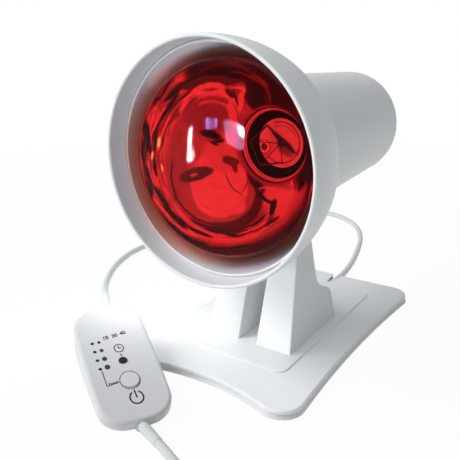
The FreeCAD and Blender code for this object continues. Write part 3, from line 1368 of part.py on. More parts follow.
def cut_relief_holes(shell):
    """Cuts the two cord holes through the handset's wall."""
    for root, tip, radii in (lamp_relief_span(), mains_relief_span()):
        out = (tip - root).normalize() * RELIEF_NECK
        radius = radii[0] - RELIEF_STEP + SEAT_GAP
        shell = shell.cut(cone_between(root - out, root + out, (radius, radius)))
    return shell


def handset_blank(inset):
    """The handset's full outer shape where it lies, drawn in by inset."""
    return laid_out(handset_top_body(inset).fuse(handset_back_body(inset)))


def lamp_relief_span():
    """Root, tip and radii of the relief on the flex that goes to the lamp."""
    x, z = LAMP_RELIEF_ROOT
    root = on_handset(x, HANDSET_LENGTH / 2 - RELIEF_SINK, z)
    angle = math.radians(LAMP_RELIEF_HEADING)
    tip = root + Vector(math.cos(angle), math.sin(angle), -RELIEF_DROOP) * RELIEF_LENGTH
    return root, tip, RELIEF_R


def mains_relief_span():
    """Root, tip and radii of the relief on the mains flex."""
    x, z = MAINS_RELIEF_ROOT
    root = on_handset(x, RELIEF_SINK - HANDSET_LENGTH / 2, z)
    angle = math.radians(MAINS_RELIEF_HEADING)
    tip = root + Vector(math.cos(angle), math.sin(angle), 0) * MAINS_RELIEF_LENGTH
    return root, tip, MAINS_RELIEF_R


def make_relief(span):
    """Strain relief whose root goes through the handset's wall."""
    root, tip, radii = span
    out = (tip - root).normalize()
    outside = plain_relief(root - out * RELIEF_TAIL, tip, radii).cut(handset_blank(-SEAT_GAP))
    outside = max(outside.Solids, key=lambda part: part.Volume)
    radius = radii[0] - RELIEF_STEP
    neck = cone_between(root - out * RELIEF_NECK, root + out * RELIEF_TAIL, (radius, radius))
    collar = Part.makeCylinder(radii[0] + RELIEF_HEAD[0], RELIEF_HEAD[1])
    collar = facing(collar, root - out * RELIEF_NECK, out)
    collar = collar.common(handset_blank(HANDSET_WALL + SEAT_GAP))
    return outside.fuse(neck).fuse(collar).removeSplitter()


def make_board():
    """Circuit board clamped between the screw towers and bosses."""
    wire = handset_wire(-(HANDSET_WALL + BOARD_GAP), BOARD_UNDER + SEAT_GAP)
    board = prism(wire, BOARD_THICK - 2 * SEAT_GAP)
    far = HANDSET_REACH
    board = board.common(solid_box((-far, -BOARD_END, -far), (far, BOARD_END, far)))
    for x, y in handset_screw_spots():
        board = board.cut(screw_hole(handset_screw_seat(x, y), Z_AXIS, SMALL_SCREW, SCREW_PLAY))
    return laid_out(board)


def make_board_parts():
    """Relay, capacitor and film block under the board."""
    under = BOARD_UNDER + SEAT_GAP
    blocks = []
    for low, high, height in (RELAY, FILM_BLOCK):
        blocks.append(laid_out(solid_box((*low, under - height), (*high, under))))
    (x, y), radius, height = CAPACITOR
    blocks.append(laid_out(Part.makeCylinder(radius, height, Vector(x, y, under - height))))
    return blocks


def make_switches():
    """Two tactile switches on the board."""
    low = BOARD_TOP - SEAT_GAP
    switches = []
    for x, y in (POWER_BUTTON, TIMER_BUTTON):
        half = SWITCH_SIDE / 2
        body = solid_box((x - half, y - half, low), (x + half, y + half, low + SWITCH_HEIGHT))
        stem = Part.makeCylinder(SWITCH_STEM[0], SWITCH_HEIGHT + SWITCH_STEM[1], Vector(x, y, low))
        switches.append(laid_out(body.fuse(stem).removeSplitter()))
    return switches


def make_leds():
    """Four indicator lamps that reach through the face."""
    low = BOARD_TOP - SEAT_GAP
    leds = []
    for x, y in LED_SPOTS:
        body = Part.makeCylinder(LED_R, -low, Vector(x, y, low))
        leds.append(laid_out(body.makeFillet(LED_EDGE_R, edges_at(body, 0))))
    return leds


def make_button(spot, radius):
    """Push button with a flange under the face and a plunger over its switch."""
    x, y = spot
    under = -HANDSET_WALL - SEAT_GAP
    foot = Vector(x, y, under - BUTTON_FLANGE_THICK)
    cap = Part.makeCylinder(radius, BUTTON_PROUD - foot.z, foot)
    cap = cap.makeFillet(BUTTON_EDGE_R, edges_at(cap, BUTTON_PROUD))
    flange = Part.makeCylinder(radius + BUTTON_FLANGE, BUTTON_FLANGE_THICK, foot)
    switch_top = BOARD_TOP - SEAT_GAP + SWITCH_HEIGHT + SWITCH_STEM[1]
    tip = switch_top + BUTTON_TRAVEL + SWITCH_GAP
    plunger = Part.makeCylinder(PLUNGER_R, under - tip, Vector(x, y, tip))
    return laid_out(cap.fuse(flange).fuse(plunger).removeSplitter())


def make_handset_screws():
    """Screws that close the handset from the back."""
    return [laid_out(screw(handset_screw_seat(x, y), Z_AXIS, SMALL_SCREW)) for x, y in handset_screw_spots()]


# Cords

def level(vector):
    """A point as a plain tuple."""
    return vector.x, vector.y, vector.z


def beyond(span, distance):
    """Point straight out of a relief, at a distance past its tip."""
    root, tip = span[:2]
    return level(tip + (tip - root).normalize() * distance)


def lamp_flex_route():
    """Hand-chosen route of the flex from the base, round behind the lamp, to the handset."""
    span = lamp_relief_span()
    return [level(bush_tip()),
            (NOTCH_X, 121.0, BUSH_TAIL_Z), (-0.4, 140.0, CORD_Z), (-4.6, 164.0, CORD_Z),
            (-12.6, 196.0, CORD_Z), (-23.5, 232.0, CORD_Z), (-40.0, 266.0, CORD_Z),
            (-66.0, 294.0, CORD_Z), (-98.0, 305.5, CORD_Z), (-130.0, 301.0, CORD_Z),
            (-160.0, 285.0, CORD_Z), (-183.0, 256.0, CORD_Z), (-198.0, 218.0, CORD_Z),
            (-206.0, 176.0, CORD_Z), (-209.5, 134.0, CORD_Z), (-211.5, 92.0, CORD_Z),
            (-210.6, 56.0, CORD_Z), (-200.6, 26.0, CORD_Z), (-182.0, -4.0, 5.2),
            (-155.0, -36.0, 12.5), (-131.0, -59.5, 20.5),
            beyond(span, 18.0), level(span[1])]


def mains_flex_route():
    """Hand-chosen route of the mains flex from the handset to its coil."""
    span = mains_relief_span()
    return [level(span[1]), beyond(span, 12.0), (50.0, -179.6, CORD_Z), (64.0, -181.0, CORD_Z),
            (77.5, -181.6, CORD_Z)]


def plug_flex_route():
    """Hand-chosen route of the mains flex from its coil to the plug."""
    return [(115.8, -208.6, 6.4), (120.5, -220.5, 5.6), (129.0, -231.5, CORD_Z),
            beyond(plug_relief_span(), 12.0), PLUG_START]


def make_coil():
    """Outer shape of the mains flex where it is coiled."""
    x, y = COIL_CENTRE
    inner = x + COIL_R - COIL_WIDTH / 2
    outer = x + COIL_R + COIL_WIDTH / 2
    section = [(inner, 0), (outer, 0), (outer, COIL_HEIGHT), (inner, COIL_HEIGHT)]
    corners = [(Vector(across, y, z), COIL_EDGE_R) for across, z in section]
    return Part.Face(rounded_polygon(corners)).revolve(Vector(x, y, 0), Z_AXIS, 360)


def make_tie():
    """Strap that holds the coil together, on the coil's sides and top."""
    hoop = tie_block(SEAT_GAP + TIE_THICK, TIE_FOOT, COIL_EDGE_R)
    hoop = hoop.cut(tie_block(SEAT_GAP, 0, COIL_EDGE_R - TIE_THICK))
    hoop.rotate(Vector(), Z_AXIS, TIE_ANGLE)
    hoop.translate(Vector(*COIL_CENTRE, 0))
    return hoop.cut(make_coil())


def tie_block(grow, low, radius):
    """Block along Y over the coil's section, grown by grow on its sides and top."""
    inner = COIL_R - COIL_WIDTH / 2 - grow
    outer = COIL_R + COIL_WIDTH / 2 + grow
    high = COIL_HEIGHT + grow
    start = -TIE_WIDTH / 2
    corners = [(Vector(inner, start, low), 0), (Vector(outer, start, low), 0),
               (Vector(outer, start, high), radius), (Vector(inner, start, high), radius)]
    return Part.Face(rounded_polygon(corners)).extrude(Vector(0, TIE_WIDTH, 0))


def plug_place(shape):
    """Moves a shape made along +X from the plug's rear face to where the plug lies."""
    angle = math.radians(PLUG_HEADING)
    rear = Vector(*PLUG_START) + Vector(math.cos(angle), math.sin(angle), 0) * PLUG_RELIEF_LENGTH
    place = Placement(Vector(rear.x, rear.y, PLUG_THICK / 2), Rotation(Z_AXIS, PLUG_HEADING))
    shape.Placement = place.multiply(shape.Placement)
    return shape


def make_plug_body():
    """Flat two-pin plug body, wide at the pins."""
    low = -PLUG_THICK / 2
    shoulder, widest = PLUG_STEPS
    side = [(0, PLUG_TAIL_WIDTH / 2), (shoulder, PLUG_NOSE_WIDTH / 2), (widest, PLUG_WIDTH / 2),
            (PLUG_LENGTH, PLUG_NOSE_WIDTH / 2)]
    outline = [(x, -y) for x, y in side] + side[::-1]
    wire = rounded_polygon([(Vector(x, y, low), PLUG_CORNER_R) for x, y in outline])
    body = prism(wire, PLUG_THICK)
    body = body.makeFillet(PLUG_EDGE_R, edges_at(body, low) + edges_at(body, -low))
    return plug_place(body)


def make_plug_pins():
    """Two round pins of the plug."""
    pins = []
    for side in (-1, 1):
        root = Vector(PLUG_LENGTH, PLUG_PIN_SPREAD * side, 0)
        pin = Part.makeCylinder(PLUG_PIN_R, PLUG_PIN_LENGTH, root, X_AXIS)
        tip = [e for e in pin.Edges if abs(e.CenterOfMass.x - PLUG_LENGTH - PLUG_PIN_LENGTH) < 0.01]
        pins.append(plug_place(pin.makeFillet(PIN_TIP_R, tip)))
    return pins


def plug_relief_span():
    """Root and tip of the relief at the plug."""
    angle = math.radians(PLUG_HEADING)
    tip = Vector(*PLUG_START)
    root = tip + Vector(math.cos(angle), math.sin(angle), 0) * PLUG_RELIEF_LENGTH
    root.z = PLUG_THICK / 2
    return root, tip


def make_plug_relief():
    """Strain relief between the mains flex and the plug."""
    return ribbed_relief(*plug_relief_span(), PLUG_RELIEF_R).cut(make_plug_body())


def write_base():
    save("base_top_shell", make_top_shell())
    save("base_bottom_cover", make_bottom_cover())
    save("ballast_plate", make_ballast())
    save("rubber_feet", *make_feet())
    save("base_screws", *make_cover_screws())
    save("cord_bush", make_bush())
    save("lead_splices", *make_splices())
    save("base_leads", *make_base_leads())


def write_posts():
    save("left_post", make_left_post())
    save("right_post", make_right_post())
    save("post_screws", *[screw(seat, Z_AXIS, POST_SCREW) for seat in post_screw_seats()])
    save("pivot_bolt", make_pivot_bolt())
    save("pivot_nut", make_pivot_nut())
    save("bolt_cap", make_bolt_cap())
    save("friction_washers", *make_washers())


def write_head():
    save("shade_bowl", make_bowl())
    save("shade_liner", make_liner())
    save("collar_screws", *[screw(seat, inward, COLLAR_SCREW) for seat, inward in collar_seats()])
    save("rear_housing", make_housing())
    save("tilt_lug", make_lug())
    save("lug_screws", *[screw(seat, Z_AXIS * -1, LUG_SCREW) for seat in lug_screw_seats()])
    save("heat_shield", make_heat_shield())
    save("lampholder_body", make_holder_body())
    save("lampholder_shell", make_holder_shell())
    save("centre_contact", make_centre_contact())
    save("lampholder_bracket", make_bracket())
    save("bracket_screws", *make_bracket_screws())
    save("head_leads", *make_head_leads())


def write_bulb():
    save("bulb_front", make_bulb_front())
    save("bulb_reflector", make_bulb_reflector())
    save("bulb_cap", make_bulb_cap())
    save("bulb_contact", make_bulb_contact())
    save("bulb_stem", make_stem())
    save("heat_disc", make_heat_disc())
    save("filament", make_filament())
    save("filament_wires", *make_filament_wires())


def write_handset():
    save("handset_top_shell", make_handset_top())
    save("handset_bottom_shell", make_handset_bottom())
    save("control_board", make_board())
    save("board_parts", *make_board_parts())
    save("tact_switches", *make_switches())
    save("indicator_leds", *make_leds())
    save("power_button", make_button(POWER_BUTTON, POWER_BUTTON_R))
    save("timer_button", make_button(TIMER_BUTTON, TIMER_BUTTON_R))
    save("handset_screws", *make_handset_screws())
    save("lamp_flex_relief", make_relief(lamp_relief_span()))
    save("mains_flex_relief", make_relief(mains_relief_span()))


def write_cords():
    save("lamp_flex", cord_tube("lamp flex", lamp_flex_route(), CORD_R))
    save("mains_flex", cord_tube("mains flex", mains_flex_route(), CORD_R))
    save("mains_flex_coil", make_coil())
    save("coil_tie", make_tie())
    save("plug_flex", cord_tube("plug flex", plug_flex_route(), CORD_R))
    save("plug_relief", make_plug_relief())
    save("plug_body", make_plug_body())
    save("plug_pins", *make_plug_pins())


def main():
    os.makedirs("parts", exist_ok=True)
    write_base()
    write_posts()
    write_head()
    write_bulb()
    write_handset()
    write_cords()
    normal = HANDSET_PLACE.Rotation.multVec(Z_AXIS)
    print("handset face", HANDSET_PLACE.Base, "normal", normal, "tilt", round(HANDSET_TILT, 2))
    print("lamp relief", lamp_relief_span()[:2], "mains relief", mains_relief_span()[:2])


main()
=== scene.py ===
# %% [markdown]
# # A table heat lamp, dressed in Blender
# The lamp's hard parts come from a CAD model and stay where they are. This lesson gives each of
# them its finish, silvers the rim inside the bulb, prints the handset, lays the two cords and sets
# up a studio round the lamp. Everything is in metres, the table is z = 0, and the lamp shines
# along -Y.

import math

import bpy
from mathutils import Matrix, Vector


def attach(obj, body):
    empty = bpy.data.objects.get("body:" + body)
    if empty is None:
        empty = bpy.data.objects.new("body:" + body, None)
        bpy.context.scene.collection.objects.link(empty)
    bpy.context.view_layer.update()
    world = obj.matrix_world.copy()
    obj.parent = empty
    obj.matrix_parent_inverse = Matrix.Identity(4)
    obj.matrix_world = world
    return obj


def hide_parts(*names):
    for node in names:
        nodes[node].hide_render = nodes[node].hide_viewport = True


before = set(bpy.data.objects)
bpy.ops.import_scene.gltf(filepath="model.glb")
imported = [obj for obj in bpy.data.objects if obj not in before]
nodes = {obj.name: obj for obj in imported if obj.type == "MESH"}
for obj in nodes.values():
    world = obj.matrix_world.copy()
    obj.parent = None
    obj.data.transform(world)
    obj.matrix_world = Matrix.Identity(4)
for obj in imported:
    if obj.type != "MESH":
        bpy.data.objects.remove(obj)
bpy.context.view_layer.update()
MM = 0.001

# %% [markdown]
# ## The camera
# A product view is framed first, because all later choices are judged through it. A camera looks
# along its own -Z, so the direction it looks in is turned into a rotation with to_track_quat. The
# lens is written as a focal length in pixels on a square view, and the sensor turns it into
# millimetres.

# %% The camera
VIEW_SIDE = 460
FOCAL_PIXELS = 597.72
CAMERA_PLACE = Vector((209.13, -378.93, 227.39)) * MM
CAMERA_LOOK = Vector((-0.52908, 0.78681, -0.31781))


def make_camera():
    data = bpy.data.cameras.new("studio_camera")
    data.sensor_width = 36.0
    data.lens = data.sensor_width * FOCAL_PIXELS / VIEW_SIDE
    data.clip_start = 0.01
    camera = bpy.data.objects.new("studio_camera", data)
    camera.location = CAMERA_PLACE
    camera.rotation_mode = "QUATERNION"
    camera.rotation_quaternion = CAMERA_LOOK.to_track_quat("-Z", "Y")
    bpy.context.scene.collection.objects.link(camera)
    bpy.context.scene.camera = camera
    return camera


print(f"lens {make_camera().data.lens:.1f} mm")

# %% [markdown]
# ## Sockets that can do sums
# A node material is a small programme. Writing each Math node by hand hides what it works out, so
# one class wraps a node's output and overloads the arithmetic operators. 1 - mask is then one Math
# node, and an expression reads like the formula it stands for.

# %% A socket with operators


class Wire:
    """A node's output. Arithmetic on it adds Math nodes to the same material."""

    def __init__(self, finish, socket):
        self.finish = finish
        self.socket = socket

    def maths(self, operation, first, second):
        return self.finish.node("ShaderNodeMath", {"operation": operation}, {0: first, 1: second})

    def __add__(self, other):
        return self.maths("ADD", self, other)

    def __radd__(self, other):
        return self.maths("ADD", other, self)

    def __sub__(self, other):
        return self.maths("SUBTRACT", self, other)

    def __rsub__(self, other):
        return self.maths("SUBTRACT", other, self)

    def __mul__(self, other):
        return self.maths("MULTIPLY", self, other)

    def __rmul__(self, other):
        return self.maths("MULTIPLY", other, self)

    def __truediv__(self, other):
        return self.maths("DIVIDE", self, other)

    def size(self):
        """The number without its sign."""
        return self.maths("ABSOLUTE", self, 0.0)

    def root(self):
        return self.maths("SQRT", self, 0.0)

    def fade(self, none, full):
        """0 at none and beyond it, 1 at full and beyond it, and an even curve between them."""
        settings = {"interpolation_type": "SMOOTHSTEP"}
        return self.finish.node("ShaderNodeMapRange", settings, {"Value": self, 1: none, 2: full})


print("sums on sockets ready")

# %% [markdown]
# ## A material under construction
# Each finish is one Principled surface and the nodes that feed it. One method adds any node, so
# that every other method only says which node it wants and what goes into it. Patterns read the
# Object coordinates, which are metres on the lamp itself, so they keep their scale on every piece.

# %% Finishes


class Finish:
    """One material: a Principled surface and the nodes that feed it."""

    def __init__(self, name, **values):
        self.material = bpy.data.materials.new(name)
        self.material.use_nodes = True
        self.tree = self.material.node_tree
        self.surface = self.tree.nodes["Principled BSDF"]
        self.output = self.tree.nodes["Material Output"]
        self.set(**values)

    def set(self, **values):
        """Gives the surface's sockets numbers, colours or wires: Base_Color=..., Roughness=..."""
        for name, value in values.items():
            self.plug(self.surface.inputs[name.replace("_", " ")], value)

    def plug(self, socket, value):
        """Links a wire to a socket, or writes a value there. A colour of three gets its alpha."""
        if isinstance(value, Wire):
            self.tree.links.new(value.socket, socket)
        elif hasattr(value, "__len__") and len(value) < len(socket.default_value):
            socket.default_value = (*value, 1.0)
        else:
            socket.default_value = value

    def node(self, kind, settings, sockets, output=0):
        """Adds any node: its settings first, then its sockets' values or wires."""
        made = self.tree.nodes.new(kind)
        for name, value in settings.items():
            if name == "stops":
                self.fill_ramp(made.color_ramp, value)
            else:
                setattr(made, name, value)
        for name, value in sockets.items():
            self.plug(made.inputs[name], value)
        return Wire(self, made.outputs[output])

    def fill_ramp(self, ramp, stops):
        """Fills a colour ramp with (position, colour) stops."""
        while len(ramp.elements) < len(stops):
            ramp.elements.new(1.0)
        for element, (position, colour) in zip(ramp.elements, stops):
            element.position = position
            element.color = (*colour, 1.0)

    def place(self):
        """Where a point is on the object, in metres."""
        return self.node("ShaderNodeTexCoord", {}, {}, "Object")

    def along(self, direction):
        """How far a point lies along a direction, in millimetres."""
        settings = {"operation": "DOT_PRODUCT"}
        sockets = {0: self.place(), 1: tuple(direction)}
        return self.node("ShaderNodeVectorMath", settings, sockets, "Value") * (1 / MM)

    def noise(self, scale, detail=2.0, where=None):
        sockets = {"Vector": where or self.place(), "Scale": scale, "Detail": detail}
        return self.node("ShaderNodeTexNoise", {}, sockets)

    def mix(self, share, first, second):
        """A colour between two colours."""
        return self.node("ShaderNodeMix", {"data_type": "RGBA"}, {0: share, 6: first, 7: second}, 2)

    def ray(self, says):
        """What the Light Path node says of the ray that is being traced."""
        return self.node("ShaderNodeLightPath", {}, {}, says)

    def bounced(self, first, *others):
        """1 on a ray that comes by way of another surface, 0 on one straight from the eye."""
        bounces = self.ray(first)
        for other in others:
            bounces = bounces + self.ray(other)
        return bounces.fade(0.0, 1.0)

    def bump(self, height, distance, strength):
        sockets = {"Height": height, "Distance": distance, "Strength": strength}
        self.set(Normal=self.node("ShaderNodeBump", {}, sockets))

    def show_instead(self, share, glow):
        """Shows a glow in place of the surface, in the share that is given."""
        surface = Wire(self, self.surface.outputs[0])
        both = self.node("ShaderNodeMixShader", {}, {0: share, 1: surface, 2: glow})
        self.plug(self.output.inputs["Surface"], both)


def scaled(colour, share):
    return [c * share for c in colour]


def dress(finish, *names):
    """Gives CAD nodes a material in place of the one that they came with."""
    for name in names:
        mesh = nodes[name].data
        mesh.materials.clear()
        mesh.materials.append(finish.material)


print("finishes ready")

# %% [markdown]
# ## The white plastic
# The lamp's housing is injection-moulded ABS: nearly white, satin, with a spark-eroded grain so
# fine that it only softens the reflections. A flat colour looks like paper, so the colour drifts
# by a few percent, the roughness varies a little more, and a fine bump breaks up the highlights.

# %% Moulded plastics
PLASTIC_IOR = 1.52
GRAIN_SCALE = 2600.0
GRAIN_DEPTH = 0.02 * MM
WHITE = (0.83, 0.845, 0.85)
SATIN = 0.3


def spark_grain(finish):
    """The fine, even grain that the wall of a spark-eroded mould leaves."""
    finish.bump(finish.noise(GRAIN_SCALE, 1.0), GRAIN_DEPTH, 0.5)


def moulded_plastic(name, colour, roughness=0.4, specular=0.5):
    finish = Finish(name, IOR=PLASTIC_IOR, Specular_IOR_Level=specular)
    drift = finish.noise(14.0)
    finish.set(Base_Color=finish.mix(drift, scaled(colour, 0.975), colour),
               Roughness=roughness - 0.05 + drift * 0.1)
    spark_grain(finish)
    return finish


dress(moulded_plastic("white_abs", WHITE, specular=SATIN),
      "base_top_shell", "base_bottom_cover", "left_post", "right_post", "shade_bowl",
      "rear_housing", "tilt_lug", "bolt_cap")
# The handset's white is about a tenth darker than the housing's: painted shade over its face.
dress(moulded_plastic("handset_abs_painted_shade", (0.745, 0.76, 0.77), specular=SATIN),
      "handset_top_shell", "handset_bottom_shell")
dress(moulded_plastic("button_white", (0.78, 0.79, 0.8), 0.35), "power_button")
dress(moulded_plastic("button_black", (0.012, 0.012, 0.013), 0.3), "timer_button")
dress(moulded_plastic("washer_nylon", (0.7, 0.7, 0.66), 0.45), "friction_washers")
dress(moulded_plastic("switch_black", (0.03, 0.03, 0.03), 0.4), "tact_switches")
dress(moulded_plastic("part_black", (0.05, 0.05, 0.06), 0.35), "board_parts")
dress(moulded_plastic("lens_black", (0.01, 0.01, 0.012), 0.12), "indicator_leds")
dress(moulded_plastic("plug_white", (0.74, 0.75, 0.74), 0.38), "plug_body", "coil_tie")
print("moulded plastics done")

# %% [markdown]
# ## Rubber and soft plastic
# The flexes, their reliefs and the feet are softer than the housing, so they are duller: the
# colour has slow clouds, and a finer grain moves the roughness and the bump together. The same
# recipe serves the leads inside, which show only when the lamp is taken apart.

# %% Soft plastics and rubber
FLEX_WHITE = (0.74, 0.78, 0.77)


def soft_plastic(name, colour, roughness):
    finish = Finish(name, IOR=1.5)
    drift = finish.noise(60.0)
    grain = finish.noise(1400.0, 2.0)
    finish.set(Base_Color=finish.mix(drift, scaled(colour, 0.93), colour),
               Roughness=roughness - 0.06 + grain * 0.12)
    finish.bump(grain, 0.03 * MM, 0.4)
    return finish


dress(soft_plastic("relief_pvc", FLEX_WHITE, 0.55),
      "cord_bush", "lamp_flex_relief", "mains_flex_relief", "plug_relief")
dress(soft_plastic("foot_rubber", (0.5, 0.5, 0.49), 0.75), "rubber_feet")
dress(soft_plastic("lead_blue", (0.06, 0.12, 0.4), 0.4), "base_leads")
dress(soft_plastic("lead_sleeve", (0.75, 0.74, 0.68), 0.8), "head_leads")
print("soft plastics done")

# %% [markdown]
# ## Metal and ceramic
# The pieces that hardly show still get true finishes, because the lamp is looked at from all
# sides and taken apart. Drawn and rolled metal has streaks, so its noise is read through a Mapping
# node that squeezes one axis. Glazed ceramic is smooth, with a clear coat over a faint drift.

# %% Metals
METAL_STREAKS = (8.0, 8.0, 160.0)


def metal(name, colour, roughness):
    finish = Finish(name, Metallic=1.0)
    sockets = {"Vector": finish.place(), "Scale": METAL_STREAKS}
    streak = finish.noise(10.0, 3.0, finish.node("ShaderNodeMapping", {}, sockets))
    finish.set(Base_Color=finish.mix(streak, scaled(colour, 0.85), colour),
               Roughness=roughness - 0.08 + streak * 0.16)
    finish.bump(streak, 0.01 * MM, 0.3)
    return finish


dress(metal("zinc_plate", (0.55, 0.57, 0.6), 0.35),
      "ballast_plate", "base_screws", "post_screws", "pivot_bolt", "pivot_nut", "collar_screws",
      "lug_screws", "lampholder_bracket", "bracket_screws", "handset_screws")
dress(metal("brass", (0.75, 0.58, 0.26), 0.3),
      "lead_splices", "lampholder_shell", "centre_contact")
dress(metal("nickel", (0.72, 0.7, 0.66), 0.22), "plug_pins")
dress(metal("spun_aluminium", (0.82, 0.82, 0.82), 0.38), "heat_shield", "bulb_cap")
print("metals done")

# %% Ceramic, board and glass beads


def glazed(name, colour, roughness=0.18):
    finish = Finish(name, Coat_Weight=0.6, Coat_Roughness=0.08)
    drift = finish.noise(40.0)
    finish.set(Base_Color=finish.mix(drift, scaled(colour, 0.95), colour),
               Roughness=roughness + drift * 0.1)
    return finish


dress(glazed("steatite", (0.78, 0.75, 0.68)), "lampholder_body")
dress(glazed("board_green", (0.02, 0.16, 0.06), 0.3), "control_board")
dress(glazed("bead_glass", (0.02, 0.02, 0.03), 0.1), "bulb_contact")
print("hidden pieces done")

# %% [markdown]
# ## The shade's liner
# Behind the lip a white liner ring closes the gap between the shade and the bulb. Next to the glass
# it is painted brownish red: a painted glow for the red light that leaves the bulb's edge and falls
# on the plastic there. The colour is laid by a depth that is measured along a slightly tilted
# direction, because the painted glow reaches further out on one side of the ring than on the
# other, and noise breaks up its edge.

# %% Liner
LIP_Y = -100.0
HEAD_Z = 149.6
BACKWARD = (0.0, 1.0, 0.0)
GLOW_TILT = Vector((-0.276, 1.0, -0.1))
GLOW_DEPTH = 42.7
GLOW_RAGGED = 2.0
PALE_GLOW, PALE_FROM, PALE_BY = (0.82, 0.46, 0.38), -17.0, -5.0
DEEP_GLOW, DEEP_FROM, DEEP_BY = (0.8, 0.23, 0.16), -8.0, 1.0


def liner_plastic():
    finish = Finish("liner_white_warmed", IOR=PLASTIC_IOR, Roughness=0.42,
                    Specular_IOR_Level=SATIN)
    # heat is a depth along the tilt, in millimetres: the painted red glow fades in as it nears 0.
    heat = finish.along(GLOW_TILT) - GLOW_TILT.dot((0.0, LIP_Y, HEAD_Z)) - GLOW_DEPTH
    patchy = heat + (finish.noise(70.0) - 0.5) * GLOW_RAGGED
    glow_painted = finish.mix(patchy.fade(PALE_FROM, PALE_BY), WHITE, PALE_GLOW)
    finish.set(Base_Color=finish.mix(patchy.fade(DEEP_FROM, DEEP_BY), glow_painted, DEEP_GLOW))
    spark_grain(finish)
    return finish


dress(liner_plastic(), "shade_liner")
print("liner warmed next to the bulb")

# %% [markdown]
# ## The bulb
# An infrared bulb is a mirror inside a ruby glass front. Looking in, the eye meets bent
# reflections of the room: bright bands, black gaps, and the dark neck with its shield. A mirror in
# a white studio would only show an even red, so the mirror is drawn instead. Its light and dark
# shapes are ovals, rings and streaks on a plane across the direction in which one looks into the
# bulb, added up from dark to bright as one number, and a colour ramp turns that number into ruby
# light. The shapes are on the mirror behind the glass, so they move behind it as the eye moves.

# %% Shapes in a mirror
ACROSS = Vector((0.83, 0.558, 0.0))
UPWARD = Vector((-0.177, 0.264, 0.948))
BULB_WIDEST = 24.5
MIRROR_CENTRE = Vector((0.0, LIP_Y + BULB_WIDEST, HEAD_Z))
ORANGE = 1.25
RUBY = [(0.0, (0.001, 0.0, 0.0)), (0.2, (0.025, 0.0005, 0.0005)), (0.4, (0.1, 0.002, 0.003)),
        (0.6, (0.27, 0.008, 0.012)), (0.8, (0.54, 0.025, 0.03)), (1.0, (0.84, 0.045, 0.055)),
        (ORANGE, (1.0, 0.9, 0.2))]
HELD_BACK = 0.9


def turned(degrees):
    return math.cos(math.radians(degrees)), math.sin(math.radians(degrees))


class Mirror(Finish):
    """A glowing mirror that is painted with soft shapes, in millimetres on a flat plane."""

    def __init__(self, name, across, upward, centre, ripple):
        super().__init__(name, Base_Color=(0.01, 0.0, 0.0), Roughness=0.4)
        self.u = self.along(across) - centre.dot(across)
        self.v = self.along(upward) - centre.dot(upward)
        self.u = self.u + (self.noise(85.0, 3.0) - 0.5) * ripple
        self.v = self.v + (self.noise(110.0, 3.0) - 0.5) * ripple

    def away(self, centre, radii, turn=0.0):
        """Distance from an oval's centre, 1 on its outline."""
        cos, sin = turned(turn)
        right, up = self.u - centre[0], self.v - centre[1]
        long = (right * cos + up * sin) * (1 / radii[0])
        wide = (up * cos - right * sin) * (1 / radii[1])
        return (long * long + wide * wide).root()

    def oval(self, centre, radii, turn=0.0, soft=0.2):
        return self.away(centre, radii, turn).fade(1 + soft, 1 - soft)

    def ring(self, centre, radii, width, middle, reach):
        """An arc of a band round an oval: middle is its direction and reach its half angle."""
        far = self.away(centre, radii)
        band = (far - 1.0).size().fade(width * 1.3, width * 0.6)
        cos, sin = turned(middle)
        right, up = self.u - centre[0], self.v - centre[1]
        towards = (right * (cos / radii[0]) + up * (sin / radii[1])) / far
        edge = math.cos(math.radians(reach))
        return band * towards.fade(edge - 0.08, edge + 0.08)

    def paint(self, mask, light):
        """Lays a shape of one brightness over what is there."""
        self.light = self.light + mask * ((self.light - light) * -1.0)

    def shine(self):
        """Colours the light. Plastic next to the glass gets little of it, so it stays white."""
        stops = [(place / ORANGE, colour) for place, colour in RUBY]
        glow = self.node("ShaderNodeValToRGB", {"stops": stops}, {0: self.light * (1 / ORANGE)})
        less = self.bounced("Diffuse Depth", "Glossy Depth") * HELD_BACK
        self.set(Emission_Color=self.mix(less, glow, (0.0, 0.0, 0.0)), Emission_Strength=1.0)


print("ruby runs through", len(RUBY), "stops")

# %% Streaks round the rim
RIM_MIDDLE, RIM_SPREAD = (0.8, 6.0), (60.7, 64.0)


def streaked_mirror():
    """Streaks follow the rim: noise in a space where a turn is short and a step outwards long."""
    mirror = Mirror("ruby_mirror", ACROSS, UPWARD, MIRROR_CENTRE, 3.0)
    far = mirror.away(RIM_MIDDLE, RIM_SPREAD)
    cos = (mirror.u - RIM_MIDDLE[0]) / (far * RIM_SPREAD[0])
    sin = (mirror.v - RIM_MIDDLE[1]) / (far * RIM_SPREAD[1])
    rim = mirror.node("ShaderNodeCombineXYZ", {}, {0: far * 25.0, 1: cos * 1.6, 2: sin * 1.6})
    mirror.streaks = mirror.noise(1.0, 5.0, rim).fade(0.38, 0.5)
    fine = {0: far * 44.0, 1: cos * 3.4 + 5.0, 2: sin * 3.4}
    fine_rim = mirror.node("ShaderNodeCombineXYZ", {}, fine)
    mirror.fine_streaks = mirror.noise(1.0, 4.0, fine_rim).fade(0.44, 0.58)
    mirror.light = mirror.streaks * 0.6 + mirror.fine_streaks * 0.25 + 0.12
    mirror.paint(mirror.oval((-3.0, 2.0), (44.0, 47.0), 0, 0.04), 0.7)
    mirror.far_out = far
    return mirror


mirror = streaked_mirror()
print("streaks drawn with", len(mirror.tree.nodes), "nodes")

# %% [markdown]
# ### Painting the reflections
# A reflection in a bowl is a room squeezed into arcs, so most shapes are arcs of rings. Each line
# says where a shape is, how large, how far it is turned, how soft its edge is, and last how
# bright. A later line lies over an earlier one, as paint does, so the large fields come first.

